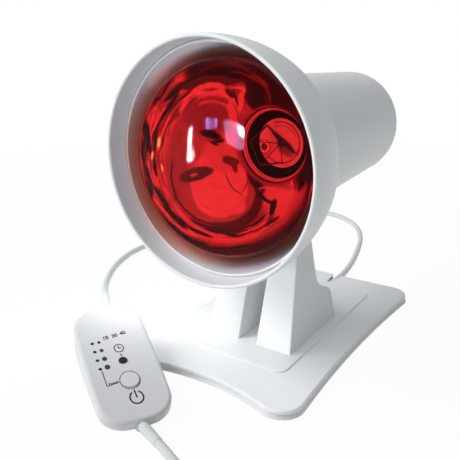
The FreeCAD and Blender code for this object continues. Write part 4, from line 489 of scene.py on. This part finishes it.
# %% The left side
DARK_DASHES = (((-51.4, 21.0), (1.7, 12.0), 6.0), ((-50.5, 36.0), (1.0, 6.0), -28.0),
               ((-41.0, -24.0), (1.4, 13.0), 32.0), ((-33.5, -35.0), (1.7, 11.0), 44.0),
               ((-50.5, -10.0), (1.2, 11.0), 12.0), ((-22.0, 54.0), (1.3, 9.0), -65.0),
               ((-33.0, 47.0), (1.2, 8.0), -50.0))
ORANGE_GLINTS = (((-44.6, 17.0), (1.1, 3.4), -14.0), ((-49.0, 8.0), (0.9, 3.2), -8.0),
                 ((-43.0, 0.0), (0.8, 2.8), 4.0))


def paint_left_side(mirror):
    """The wide bright arc broken by streaks, the plain field inside it, and small dashes."""
    mirror.paint(mirror.ring((-5.3, 3.4), (42.0, 44.0), 0.1, 140.0, 66.0), 0.98)
    mirror.paint(mirror.oval((-32.0, 2.0), (5.5, 26.0), -3.0, 0.2), 0.64)
    side = mirror.ring((-1.0, 2.0), (51.0, 56.0), 0.2, 190.0, 75.0)
    mirror.paint(side * 0.9, 0.97)
    mirror.paint(side * (1.0 - mirror.fine_streaks) * 0.7, 0.5)
    mirror.paint(side * (1.0 - mirror.streaks) * 0.92, 0.05)
    mirror.paint(mirror.ring((-2.6, -3.1), (34.5, 37.0), 0.02, 218.0, 50.0), 0.25)
    for centre, radii, turn in DARK_DASHES:
        mirror.paint(mirror.oval(centre, radii, turn, 0.3), 0.03)
    for centre, radii, turn in ORANGE_GLINTS:
        mirror.paint(mirror.oval(centre, radii, turn, 0.4), 1.2)


paint_left_side(mirror)
print(len(DARK_DASHES), "dark dashes and", len(ORANGE_GLINTS), "glints on the left")

# %% The top


def paint_top(mirror):
    """The dark bands over the neck and the bright hook that falls between them."""
    mirror.paint(mirror.oval((4.0, 61.5), (50.0, 8.5), -4.0, 0.3), 0.1)
    mirror.paint(mirror.oval((-8.0, 53.0), (21.0, 3.0), 6.0, 0.3), 0.34)
    mirror.paint(mirror.oval((6.0, 56.4), (15.0, 1.6), -8.0, 0.3), 0.02)
    mirror.paint(mirror.oval((25.0, 50.5), (14.0, 3.0), -28.0, 0.3), 0.04)
    mirror.paint(mirror.oval((31.0, 43.0), (21.0, 8.5), -36.0, 0.25), 0.14)
    mirror.paint(mirror.oval((-9.0, 36.0), (19.0, 11.0), 8.0, 0.12), 0.6)
    mirror.paint(mirror.ring((-8.0, 27.0), (23.5, 25.0), 0.055, 98.0, 60.0), 0.97)
    mirror.paint(mirror.ring((-7.5, 27.0), (17.0, 17.5), 0.05, 84.0, 40.0), 0.84)
    mirror.paint(mirror.oval((11.8, 45.0), (1.9, 6.0), -14.0, 0.3), 0.97)
    mirror.paint(mirror.oval((6.2, 37.5), (3.0, 8.0), 14.0, 0.3), 0.97)
    mirror.paint(mirror.oval((8.2, 46.5), (0.8, 4.0), 30.0, 0.4), 0.3)
    mirror.paint(mirror.oval((4.4, 48.4), (3.6, 1.3), -32.0, 0.3), 0.35)
    mirror.paint(mirror.ring((-2.0, 22.0), (38.0, 38.0), 0.012, 75.0, 40.0), 0.4)
    mirror.paint(mirror.ring((0.0, 20.0), (40.5, 37.0), 0.012, 60.0, 24.0), 0.5)
    mirror.paint(mirror.ring((2.0, 18.0), (46.0, 41.0), 0.02, 50.0, 22.0), 0.02)


paint_top(mirror)
print("top painted,", len(mirror.tree.nodes), "nodes so far")

# %% The middle


def paint_middle(mirror):
    """The large bright field with its dark eye and patches."""
    mirror.paint(mirror.oval((-3.3, -10.0), (20.5, 25.0), 0.0, 0.05), 0.97)
    mirror.paint(mirror.oval((-15.5, -15.0), (6.0, 12.0), 38.0, 0.06), 0.96)
    mirror.paint(mirror.oval((8.5, -26.0), (6.5, 6.5), 0.0, 0.08), 0.97)
    mirror.paint(mirror.oval((0.5, 12.0), (15.0, 14.0), 0.0, 0.3), 0.88)
    mirror.paint(mirror.oval((-9.5, 24.5), (7.0, 2.6), -8.0, 0.25), 0.03)
    mirror.paint(mirror.oval((-4.5, 20.5), (4.4, 1.3), 18.0, 0.4), 0.1)
    mirror.paint(mirror.oval((-7.5, 19.0), (4.0, 0.8), -24.0, 0.4), 0.2)
    mirror.paint(mirror.oval((-19.6, -3.4), (12.2, 4.6), 16.0, 0.12), 0.34)
    mirror.paint(mirror.oval((-21.0, -5.4), (9.0, 3.0), 20.0, 0.3) * mirror.fine_streaks, 0.2)
    mirror.paint(mirror.oval((-21.4, -4.2), (2.6, 1.2), 20.0, 0.3), 0.86)
    mirror.paint(mirror.oval((4.6, 7.0), (6.4, 3.4), -12.0, 0.15), 0.42)
    mirror.paint(mirror.oval((7.0, 3.0), (2.0, 4.6), 20.0, 0.25), 0.45)
    mirror.paint(mirror.ring((20.0, 4.0), (20.0, 24.0), 0.022, 222.0, 24.0), 0.4)
    mirror.paint(mirror.ring((4.5, -4.0), (13.0, 15.0), 0.03, -25.0, 26.0), 0.55)


paint_middle(mirror)
print("middle painted,", len(mirror.tree.nodes), "nodes so far")

# %% The lower right


def paint_low_right(mirror):
    """The dark ridge under the neck, the bright corner beside it and the arcs at the bottom."""
    mirror.paint(mirror.ring((-0.5, -15.5), (26.0, 26.0), 0.14, -42.0, 64.0), 0.3)
    mirror.paint(mirror.oval((22.5, -9.0), (2.4, 10.0), 38.0, 0.25), 0.12)
    mirror.paint(mirror.oval((40.0, -24.0), (12.0, 15.0), 25.0, 0.2), 0.92)
    mirror.paint(mirror.oval((41.0, -11.0), (7.0, 3.0), -30.0, 0.4), 0.72)
    mirror.paint(mirror.ring((30.0, -20.0), (9.0, 7.0), 0.09, 75.0, 50.0), 0.95)
    mirror.paint(mirror.oval((28.5, -21.0), (8.0, 1.2), -42.0, 0.3), 0.06)
    mirror.paint(mirror.oval((33.6, -28.0), (1.9, 6.0), -14.0, 0.3), 0.03)
    mirror.paint(mirror.oval((33.0, -37.5), (5.0, 1.1), 38.0, 0.3), 0.25)
    mirror.paint(mirror.ring((6.3, -3.1), (50.5, 48.5), 0.05, -82.0, 44.0), 0.98)
    mirror.paint(mirror.oval((-3.0, -45.0), (14.0, 1.5), -10.0, 0.3), 0.03)
    mirror.paint(mirror.oval((-16.5, -44.5), (9.0, 1.8), -24.0, 0.3), 0.08)
    mirror.paint(mirror.ring((2.0, -8.0), (38.0, 36.0), 0.025, -88.0, 42.0), 0.16)
    bottom = mirror.ring((3.0, -5.0), (43.0, 42.5), 0.03, -120.0, 34.0)
    mirror.paint(bottom * mirror.streaks, 0.95)
    mirror.paint(mirror.oval((56.0, 14.0), (9.0, 30.0), 0.0, 0.25), 0.06)
    mirror.paint(mirror.oval((50.0, 0.0), (1.0, 17.0), -8.0, 0.4), 0.5)


paint_low_right(mirror)
print("lower right painted,", len(mirror.tree.nodes), "nodes so far")

# %% The neck and the edge


def paint_neck(mirror):
    """By depth: a thin dark line, the bright ring round the neck's mouth, the black neck."""
    depth = mirror.along(BACKWARD) - LIP_Y
    mirror.paint(depth.fade(81.0, 85.0), 0.62)
    mirror.paint(depth.fade(85.4, 86.2), 0.2)
    mirror.paint(depth.fade(87.2, 87.8), 0.94)
    mirror.paint(depth.fade(88.8, 89.1) * depth.fade(89.6, 89.3), 0.4)
    mirror.paint(depth.fade(90.2, 91.0), 0.01)


def soften(mirror):
    """Breaks up the even fields with the rim's streaks and darkens the mirror at its edge."""
    grain = mirror.streaks * 0.06 + mirror.fine_streaks * 0.05 + 0.92
    mirror.light = mirror.light * grain
    left = (mirror.u * -1.0).fade(15.0, 42.0)
    wide_edge = mirror.far_out.fade(1.03, 0.86)
    thin_edge = mirror.far_out.fade(0.98, 0.91)
    edge = wide_edge + left * (thin_edge - wide_edge)
    mirror.light = mirror.light * (edge * 0.8 + 0.2)


paint_neck(mirror)
soften(mirror)
mirror.shine()
dress(mirror, "bulb_reflector")
print("mirror painted with", len(mirror.tree.nodes), "nodes")

# %% [markdown]
# ### The silvered rim
# On one side the silver doesn't stop where the bulb is widest, but runs up the inside of the glass
# front, so that the streaks reach the bulb's edge. The rim is a circle that is extruded and scaled
# ring by ring along the dome's own curve, a hair inside the glass. The faces on the other side are
# deleted, and Solidify gives what is left a thin wall.

# %% The dome's curve
BULB_R = 62.5
DOME_TALL = 31.0
DOME_POWER = 2.4
RIM_INSET = 1.35
RIM_RINGS = 9
RIM_REACH = 12.5


def dome_ring(share):
    """Radius and depth of a ring inside the dome, from its widest at 0 to the rim's end at 1."""
    rise = (RIM_REACH * share / (DOME_TALL - RIM_INSET)) ** (DOME_POWER / 2)
    radius = (BULB_R - RIM_INSET) * (1 - rise * rise) ** (1 / DOME_POWER)
    return radius, BULB_WIDEST - RIM_REACH * share


print("rim from radius {:.1f} to {:.1f} mm".format(dome_ring(0.0)[0], dome_ring(1.0)[0]))

# %% Silvered rim
RIM_VERTICES = 128
RIM_WALL = 0.1
RIM_SIDE = Vector((-0.857, 0.0, -0.515))
RIM_SIDE_SHARE = 0.38


def alone():
    """Deselects everything, so that the next operator acts on the new piece only."""
    if bpy.context.object and bpy.context.object.mode != "OBJECT":
        bpy.ops.object.mode_set(mode="OBJECT")
    bpy.ops.object.select_all(action="DESELECT")


def delete_faces():
    """Deletes the faces that are selected, and comes back to object mode."""
    bpy.ops.object.mode_set(mode="EDIT")
    bpy.ops.mesh.delete(type="FACE")
    bpy.ops.object.mode_set(mode="OBJECT")


def raise_rim():
    """Extrudes and scales the selected circle along the dome's curve."""
    radius, depth = dome_ring(0.0)
    for k in range(1, RIM_RINGS + 1):
        next_radius, next_depth = dome_ring(k / RIM_RINGS)
        forward = (0.0, (next_depth - depth) * MM, 0.0)
        bpy.ops.mesh.extrude_region_move(TRANSFORM_OT_translate={"value": forward})
        shrink = next_radius / radius
        bpy.ops.transform.resize(value=(shrink, 1.0, shrink))
        radius, depth = next_radius, next_depth


def make_silvered_rim():
    alone()
    radius, depth = dome_ring(0.0)
    centre = Vector((0.0, LIP_Y + depth, HEAD_Z)) * MM
    bpy.ops.mesh.primitive_circle_add(vertices=RIM_VERTICES, radius=radius * MM, location=centre,
                                      rotation=(math.pi / 2, 0, 0))
    rim = bpy.context.object
    rim.name = "silvered_rim"
    bpy.ops.object.transform_apply(location=True, rotation=True, scale=True)
    bpy.ops.object.mode_set(mode="EDIT")
    bpy.ops.mesh.select_all(action="SELECT")
    raise_rim()
    bpy.ops.mesh.select_all(action="SELECT")
    bpy.ops.mesh.normals_make_consistent(inside=False)
    bpy.ops.mesh.select_all(action="DESELECT")
    bpy.ops.object.mode_set(mode="OBJECT")
    for face in rim.data.polygons:
        from_axis = face.center - centre
        from_axis.y = 0.0
        face.select = from_axis.normalized().dot(RIM_SIDE) < RIM_SIDE_SHARE
    delete_faces()
    wall = rim.modifiers.new("wall", "SOLIDIFY")
    wall.thickness = RIM_WALL * MM
    bpy.ops.object.modifier_apply(modifier="wall")
    bpy.ops.object.shade_smooth_by_angle(angle=math.radians(40))
    rim.data.materials.append(mirror.material)
    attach(rim, "head")
    return rim


print("silvered rim with", len(make_silvered_rim().data.polygons), "faces")

# %% [markdown]
# ### Inside the neck
# A round heat shield closes the neck. It mirrors the same red, with thin dark arcs, and in front of
# it stand the dark stem's leads. The shield is a second painted mirror, on a plane square to the
# bulb's axis, and the small bright ring of the getter is a painted highlight on it.

# %% The heat shield
SHIELD_ACROSS = Vector((1.0, 0.0, 0.0))
SHIELD_UP = Vector((0.0, 0.0, 1.0))
GETTER = (-14.0, -4.0)
shield = Mirror("ruby_shield", SHIELD_ACROSS, SHIELD_UP, Vector((0.0, 0.0, HEAD_Z)), 1.2)
shield.light = shield.noise(60.0, 2.0).fade(0.2, 0.7) * 0.2 + 0.72
shield.paint(shield.ring((0.0, 0.0), (15.5, 15.5), 0.03, 40.0, 70.0), 0.35)
shield.paint(shield.ring((0.0, 0.0), (13.2, 13.0), 0.02, 75.0, 45.0), 0.4)
shield.paint(shield.ring((0.0, 0.0), (14.4, 14.6), 0.03, -70.0, 60.0), 0.42)
shield.paint(shield.oval((4.0, -3.0), (8.0, 5.0), -35.0, 0.4), 0.5)
shield.paint(shield.oval((2.5, 0.7), (11.8, 2.0), -34.0, 0.12), 0.06)
shield.paint(shield.oval(GETTER, (5.4, 5.2), 0.0, 0.08), 0.3)
shield.paint(shield.oval(GETTER, (4.8, 4.6), 0.0, 0.08), 0.98)
shield.paint(shield.oval(GETTER, (2.4, 2.4), 0.0, 0.25), 0.2)
shield.shine()
dress(shield, "heat_disc")
print("shield painted with", len(shield.tree.nodes), "nodes")

# %% Wires and stem


def dark_wire():
    """Metal seen through ruby glass: near black, with a faint painted red glow in its emission."""
    finish = Finish("ruby_wire", Roughness=0.4, Metallic=1.0)
    clouds = finish.noise(900.0)
    finish.set(Base_Color=finish.mix(clouds, (0.03, 0.005, 0.005), (0.08, 0.015, 0.015)),
               Emission_Color=(0.035, 0.003, 0.003), Emission_Strength=1.0)
    return finish


dress(dark_wire(), "filament", "filament_wires", "bulb_stem")
print("neck dressed")

# %% [markdown]
# ### The ruby glass
# The front is thin clear glass with a baked red lacquer. Full Transmission makes the Principled
# shader real glass, and its two surfaces tint the light that goes in and out. A thin wall hardly
# bends light, so the index of refraction stays near 1. A light coat gives the glass its faint
# gloss. Light that only passes through on its way to the plastic isn't tinted, so that the shade
# stays white.

# %% Glass


def ruby_glass():
    finish = Finish("ruby_glass", Roughness=0.0, IOR=1.03, Transmission_Weight=1.0,
                    Coat_Weight=0.08, Coat_IOR=1.5, Coat_Roughness=0.035)
    lacquer = finish.noise(45.0, 3.0)
    tint = finish.mix(lacquer, (1.0, 0.38, 0.38), (1.0, 0.46, 0.45))
    finish.set(Base_Color=finish.mix(finish.bounced("Diffuse Depth"), tint, (1.0, 1.0, 1.0)))
    return finish


dress(ruby_glass(), "bulb_front")
print("glass on the front")

# %% [markdown]
# ## The handset's print
# The numbers and signs on the handset are black ink, printed on the flat face. They are made flat
# at the origin first: words from a text object, rings and dots from circles. Then each gets a few
# hundredths of a millimetre of thickness, and its place on the tilted face is applied to its mesh.

# %% The face that is printed on
FACE_CENTRE = Vector((-41.4, -134.1, 24.275))
FACE_NORMAL = Vector((0.26459817, -0.16469785, 0.95019073)).normalized()
FACE_ACROSS = Vector((0.5284, 0.8490, 0.0)).normalized()
FACE_UP = FACE_NORMAL.cross(FACE_ACROSS)
FACE_AXES = Matrix((FACE_ACROSS, FACE_UP, FACE_NORMAL)).transposed().to_4x4()
ON_FACE = Matrix.Translation(FACE_CENTRE * MM) @ FACE_AXES
INK_THICK = 0.05


def ink(name, colour):
    finish = Finish(name, Roughness=0.45)
    patchy = finish.noise(1500.0, 2.0)
    finish.set(Base_Color=finish.mix(patchy, colour, scaled(colour, 1.6)))
    return finish


BLACK_INK = ink("black_ink", (0.012, 0.013, 0.014))
GREY_INK = ink("grey_ink", (0.03, 0.045, 0.035))


def print_on_face(piece, name, place, turn=0.0, finish=BLACK_INK, tall=1.0):
    """Thickens a flat mesh piece and sets it on the face, turned about its own middle."""
    piece.name = name
    piece.data.materials.clear()
    piece.data.materials.append(finish.material)
    thicken = piece.modifiers.new("ink", "SOLIDIFY")
    thicken.thickness = INK_THICK * MM
    thicken.offset = 1.0
    bpy.ops.object.modifier_apply(modifier="ink")
    own = Matrix.Rotation(math.radians(turn), 4, "Z") @ piece.matrix_world
    stretch = Matrix.Diagonal((1.0, tall, 1.0, 1.0))
    spot = Matrix.Translation(Vector((place[0], place[1], 0.0)) * MM)
    piece.data.transform(ON_FACE @ spot @ stretch @ own)
    piece.matrix_world = Matrix.Identity(4)
    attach(piece, "base")


print(f"the face leans {math.degrees(FACE_NORMAL.angle((0, 0, 1))):.0f} degrees")

# %% Words and numbers
BASELINE_TURN = 5.6
NUMBER_SIZE = 4.2
NUMBER_WEIGHT = 0.13


def print_word(name, word, place, size=NUMBER_SIZE, turn=BASELINE_TURN, weight=NUMBER_WEIGHT):
    alone()
    bpy.ops.object.text_add(location=(0, 0, 0))
    text = bpy.context.object
    text.data.body = word
    text.data.size = size * MM
    text.data.offset = weight * MM
    text.data.align_x = "CENTER"
    text.data.align_y = "CENTER"
    bpy.ops.object.convert(target="MESH")
    print_on_face(bpy.context.object, name, place, turn)


print_word("print_10", "10", (-5.25, 20.1))
print_word("print_30", "30", (1.1, 20.7))
print_word("print_40", "40", (6.9, 21.6))
print_word("print_power", "Power", (-9.3, -18.6), 2.4, 7.0, 0.06)
print("numbers printed")

# %% [markdown]
# ### Dots, rings and bars
# The signs are built from three plain strokes: a dot or ring, an open ring and a bar with rounded
# ends. Rings are a little taller than wide, as the print on such a face is.

# %% Strokes
SIGN_TALL = 1.14


def print_ring(name, place, outer, inner=0.0, gap=0.0, finish=BLACK_INK):
    """A dot, or a ring with an inner radius. Gap is the half angle left open at the top."""
    alone()
    bpy.ops.mesh.primitive_circle_add(vertices=64, radius=outer * MM, fill_type="NGON")
    piece = bpy.context.object
    if inner:
        bpy.ops.object.mode_set(mode="EDIT")
        bpy.ops.mesh.select_all(action="SELECT")
        bpy.ops.mesh.inset(thickness=(outer - inner) * MM)
        delete_faces()
    if gap:
        for face in piece.data.polygons:
            off_top = math.degrees(math.atan2(face.center.x, face.center.y))
            face.select = abs(off_top) < gap
        delete_faces()
    print_on_face(piece, name, place, 0.0, finish, SIGN_TALL)


def print_bar(name, start, end, width):
    """A straight bar with rounded ends."""
    alone()
    run = Vector((end[0] - start[0], end[1] - start[1], 0.0))
    bpy.ops.mesh.primitive_plane_add(size=1.0)
    piece = bpy.context.object
    bpy.ops.object.mode_set(mode="EDIT")
    bpy.ops.transform.resize(value=(run.length * MM, width * MM, 1.0))
    bpy.ops.mesh.select_all(action="SELECT")
    bpy.ops.mesh.bevel(offset=width * 0.3 * MM, segments=3, affect="VERTICES")
    bpy.ops.object.mode_set(mode="OBJECT")
    middle = ((start[0] + end[0]) / 2, (start[1] + end[1]) / 2)
    print_on_face(piece, name, middle, math.degrees(math.atan2(run.y, run.x)))


print("strokes ready")

# %% Signs
LEVEL_DOTS = (((-10.16, 9.92), 1.3), ((-10.02, 2.36), 1.6), ((-9.87, -4.93), 1.8))
for level, (place, radius) in enumerate(LEVEL_DOTS, start=2):
    print_ring(f"print_level_{level}", place, radius, finish=GREY_INK)
print_ring("print_level_1", (-10.25, 17.43), 1.05)
print_ring("print_clock", (1.08, 8.88), 3.35, 2.7)
print_bar("print_clock_hand_a", (1.08, 8.5), (0.9, 11.1), 0.65)
print_bar("print_clock_hand_b", (0.9, 8.8), (2.7, 8.6), 0.65)
print_bar("print_timer_dash", (0.95, 3.8), (1.2, 1.6), 0.75)
print_ring("print_power_sign", (1.39, -33.26), 4.6, 3.65, 30.0)
print_bar("print_power_sign_bar", (1.3, -27.2), (1.5, -33.6), 0.95)
print_ring("print_button_ring", (1.0, -19.1), 6.5, 6.12)
print_bar("print_leader_a", (-14.02, -7.0), (-13.68, -20.15), 0.55)
print_bar("print_leader_b", (-13.68, -20.15), (-5.6, -18.9), 0.55)
print("signs printed")

# %% [markdown]
# ## The cords
# A flex is one smooth line with a thickness. A NURBS curve follows a few control points the way a
# stiff cord follows the hand that lays it, so the route is a short list, and Bevel Depth gives the
# curve its round section. The order is set after the points are added, because a curve with too
# few points can't take it.

# %% Lay a flex
FLEX_DIAMETER = 5.6 * MM
FLEX_Z = 2.85
FLEX_PVC = soft_plastic("flex_pvc", FLEX_WHITE, 0.42)


def lay_flex(name, route):
    data = bpy.data.curves.new(name, "CURVE")
    data.dimensions = "3D"
    data.bevel_depth = FLEX_DIAMETER / 2
    data.bevel_resolution = 6
    data.resolution_u = 8
    data.use_fill_caps = True
    spline = data.splines.new("NURBS")
    spline.points.add(len(route) - 1)
    for point, (x, y, z) in zip(spline.points, route):
        point.co = (x * MM, y * MM, z * MM, 1.0)
    spline.order_u = 3
    spline.use_endpoint_u = True
    data.materials.append(FLEX_PVC.material)
    flex = bpy.data.objects.new(name, data)
    bpy.context.scene.collection.objects.link(flex)
    return flex


LAMP_ROUTE = [(1.7, 109.0, 3.15), (1.7, 121.0, 3.15), (-0.4, 140.0, FLEX_Z),
              (-4.6, 164.0, FLEX_Z), (-12.6, 196.0, FLEX_Z), (-23.5, 232.0, FLEX_Z),
              (-40.0, 266.0, FLEX_Z), (-66.0, 294.0, FLEX_Z), (-98.0, 305.5, FLEX_Z),
              (-130.0, 301.0, FLEX_Z), (-160.0, 285.0, FLEX_Z), (-183.0, 256.0, FLEX_Z),
              (-198.0, 218.0, FLEX_Z), (-206.0, 176.0, FLEX_Z), (-209.5, 134.0, FLEX_Z),
              (-211.5, 92.0, FLEX_Z), (-210.6, 56.0, FLEX_Z), (-200.6, 26.0, FLEX_Z),
              (-182.0, -4.0, 5.2), (-155.0, -36.0, 12.5), (-131.0, -59.5, 20.5),
              (-112.09, -76.26, 25.33), (-99.584, -89.215, 25.865)]
lamp_cord = lay_flex("lamp_cord", LAMP_ROUTE)
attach(lamp_cord, "base")
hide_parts("lamp_flex")
print("lamp flex laid through", len(LAMP_ROUTE), "points")

# %% [markdown]
# ### The coil
# The mains flex is 1.8 m long, and most of it is put away in a flat coil of two layers. The bottom
# layer is wound from the outside in and the top layer from the inside out, so that both ends leave
# at the outer edge. A loop works out the turns as more control points of the same curve.

# %% Wind the mains flex
COIL_CENTRE = (77.0, -223.0)
COIL_R = 33.3
COIL_PITCH = 5.7
TURNS_IN_LAYER = 4
POINTS_IN_TURN = 20
COIL_START = 90.0
COIL_END = 20.0


def coil_turns():
    """Control points of the coil, clockwise, from where the flex comes in to where it leaves."""
    x, y = COIL_CENTRE
    outer = COIL_R + COIL_PITCH * (TURNS_IN_LAYER - 1) / 2
    total = 2 * TURNS_IN_LAYER + (COIL_START - COIL_END) / 360
    steps = round(total * POINTS_IN_TURN)
    points = []
    for k in range(steps + 1):
        turn = total * k / steps
        ring = turn if turn < TURNS_IN_LAYER else 2 * TURNS_IN_LAYER - turn
        radius = outer - COIL_PITCH * min(ring, TURNS_IN_LAYER - 1)
        rise = min(max(turn - TURNS_IN_LAYER + 0.5, 0.0), 1.0)
        angle = math.radians(COIL_START - 360 * turn)
        z = FLEX_Z + COIL_PITCH * rise
        points.append((x + radius * math.cos(angle), y + radius * math.sin(angle), z))
    return points


MAINS_ROUTE = [(16.158, -165.270, 3.592), (27.40, -169.47, 3.592), (50.0, -179.6, FLEX_Z),
               (64.0, -181.0, FLEX_Z), *coil_turns(), (120.5, -220.5, 5.6),
               (129.0, -231.5, FLEX_Z), (138.90, -238.52, 4.15), (150.0, -243.0, 5.0)]
mains_cord = lay_flex("mains_cord", MAINS_ROUTE)
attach(mains_cord, "base")
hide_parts("mains_flex", "mains_flex_coil", "plug_flex")
[c * MM for c in MAINS_ROUTE[0]]
print("mains flex wound with", len(MAINS_ROUTE), "points")

# %% [markdown]
# ## The studio floor
# A white seamless floor takes the lamp's soft shadow. It shows nearly white to the camera and to
# glass and glossy surfaces, while for the light that bounces off it, it stays plain paper. Far
# away it turns quite white, so that it meets the background with no line.

# %% Floor
FLOOR_HALF = 3.0
FLOOR_WHITE_SHARE = 0.95
FLOOR_PLAIN_FROM = 0.45
FLOOR_PLAIN_BY = 1.1


def seen_directly(finish, in_gloss=1.0):
    """1 for camera and transmission rays, in_gloss for glossy ones, 0 for those that light."""
    seen = finish.ray("Is Camera Ray") + finish.ray("Is Transmission Ray")
    seen = seen + finish.ray("Is Glossy Ray") * in_gloss
    return finish.node("ShaderNodeClamp", {}, {"Value": seen - finish.bounced("Diffuse Depth")})


def make_floor():
    alone()
    bpy.ops.mesh.primitive_plane_add(size=2 * FLOOR_HALF, location=(0, 0, 0))
    floor = bpy.context.object
    floor.name = "studio_floor"
    finish = Finish("floor_white", Base_Color=(0.95, 0.95, 0.95), Roughness=0.9,
                    Specular_IOR_Level=0.0)
    white = {"Color": (1.0, 1.0, 1.0), "Strength": 1.0}
    glow = finish.node("ShaderNodeEmission", {}, white)
    far = finish.node("ShaderNodeVectorMath", {"operation": "LENGTH"}, {0: finish.place()}, "Value")
    plain = far.fade(FLOOR_PLAIN_FROM, FLOOR_PLAIN_BY) * (1 - FLOOR_WHITE_SHARE)
    finish.show_instead(seen_directly(finish) * (plain + FLOOR_WHITE_SHARE), glow)
    floor.data.materials.append(finish.material)


make_floor()
print("floor laid,", 2 * FLOOR_HALF, "m square")

# %% [markdown]
# ## The world
# A faint, slightly cool light comes from all round and keeps the shadows open. The camera and the
# glass see the world as plain white. Glossy plastic sees only a part of that white, because at a
# grazing angle a full white would wash out the housing's dark sides.

# %% World
WORLD_LIGHT = 0.31
WORLD_COLOUR = (0.93, 0.97, 1.0)
WORLD_IN_GLOSS = 0.3


class Surroundings(Finish):
    """The world's nodes, built with the same helpers as a material's."""

    def __init__(self, name):
        self.world = bpy.data.worlds.new(name)
        self.world.use_nodes = True
        self.tree = self.world.node_tree
        self.surface = self.tree.nodes["Background"]
        self.output = self.tree.nodes["World Output"]


def make_world():
    around = Surroundings("studio_world")
    around.set(Color=WORLD_COLOUR, Strength=WORLD_LIGHT)
    white = {"Color": (1.0, 1.0, 1.0), "Strength": 1.0}
    glow = around.node("ShaderNodeBackground", {}, white)
    around.show_instead(seen_directly(around, WORLD_IN_GLOSS), glow)
    bpy.context.scene.world = around.world


make_world()
print("world lit at", WORLD_LIGHT)

# %% [markdown]
# ## The lamps
# A broad key light from the upper left shapes the housing, and a weak one from behind lifts its
# top. The pieces that face the viewer need more light than the handset in front of them can take,
# so two fill lights are linked to those pieces only. A small lamp close above the handset brightens
# its upper end. None of them is mirrored, because the plastic would show them as square spots.

# %% Soft boxes
LAMP_MIDDLE = (0.0, 0.0, 0.1)


def area_lamp(name, place, target, size, watts, colour=(1.0, 1.0, 1.0)):
    data = bpy.data.lights.new(name, "AREA")
    data.shape = "RECTANGLE"
    data.size, data.size_y = size
    data.energy = watts
    data.color = colour
    lamp = bpy.data.objects.new(name, data)
    lamp.location = place
    lamp.rotation_mode = "QUATERNION"
    lamp.rotation_quaternion = (Vector(target) - Vector(place)).to_track_quat("-Z", "Y")
    lamp.visible_camera = False
    lamp.visible_transmission = False
    bpy.context.scene.collection.objects.link(lamp)
    return lamp


def only_on(*names):
    """A collection of the pieces that a lamp may light."""
    pieces = bpy.data.collections.new("only_on_" + names[0])
    for name in names:
        pieces.objects.link(nodes[name])
    return pieces


def soft_box(name, place, target, side, watts, *lit):
    """A square lamp that nothing mirrors. It lights all, or only the pieces that are named."""
    lamp = area_lamp(name, place, target, (side, side), watts)
    lamp.visible_glossy = False
    if lit:
        lamp.light_linking.receiver_collection = only_on(*lit)


soft_box("key_light", (-1.0, -0.95, 1.2), LAMP_MIDDLE, 1.0, 22.5)
soft_box("front_light", (0.0, -1.25, 0.8), LAMP_MIDDLE, 0.8, 3.5,
         "shade_bowl", "shade_liner", "left_post", "right_post", "base_top_shell")
soft_box("post_light", (-0.25, -0.95, 0.1), (0.02, -0.02, 0.08), 0.15, 3.0, "right_post")
soft_box("top_light", (0.25, 0.75, 1.4), LAMP_MIDDLE, 0.6, 3.0)
soft_box("low_light", (-0.078, -0.08, 0.082), (-0.078, -0.08, 0.0), 0.05, 0.034)
print(len(bpy.data.lights), "soft boxes lit")

# %% [markdown]
# ## Windows in the glass
# A bulb's front is a curved mirror that shows every window of the room. Each pane is a small area
# lamp that is seen only as a reflection, and only in the glass. It is placed by two angles from
# the glass and its distance, so that its reflection can be moved like a lamp on a stand.

# %% Window panes
BULB_FACE = Vector((0.0, -0.105, 0.155))
GLASS_ONLY = only_on("bulb_front")


def window_pane(name, left, height, distance, size, watts, colour):
    """Left and height are the pane's angles in degrees, as the glass sees it."""
    cos_left, sin_left = turned(left)
    cos_height, sin_height = turned(height)
    towards = Vector((-sin_left * cos_height, -cos_left * cos_height, sin_height))
    pane = area_lamp(name, BULB_FACE + towards * distance, BULB_FACE, size, watts, colour)
    pane.visible_diffuse = False
    pane.light_linking.receiver_collection = GLASS_ONLY


window_pane("tall_window", 38.5, -2.0, 0.62, (0.02, 0.19), 6.0, (0.95, 0.92, 1.0))
window_pane("pink_window", 9.5, 9.5, 1.2, (0.32, 0.36), 36.0, (1.0, 0.4, 0.78))
window_pane("white_pane", 3.5, 13.5, 1.15, (0.1, 0.12), 50.0, (0.85, 0.9, 1.0))
window_pane("violet_pane_a", 28.5, 10.0, 1.2, (0.06, 0.14), 5.0, (0.3, 0.28, 1.0))
window_pane("violet_pane_b", 23.5, 12.0, 1.2, (0.06, 0.12), 4.0, (0.3, 0.28, 1.0))
print("studio lit with", len(bpy.data.lights), "lamps")

# %% [markdown]
# ## Finish
# The last cell sets the view transform to Standard and hands the scene over.

# %% Finish
bpy.context.scene.view_settings.view_transform = "Standard"
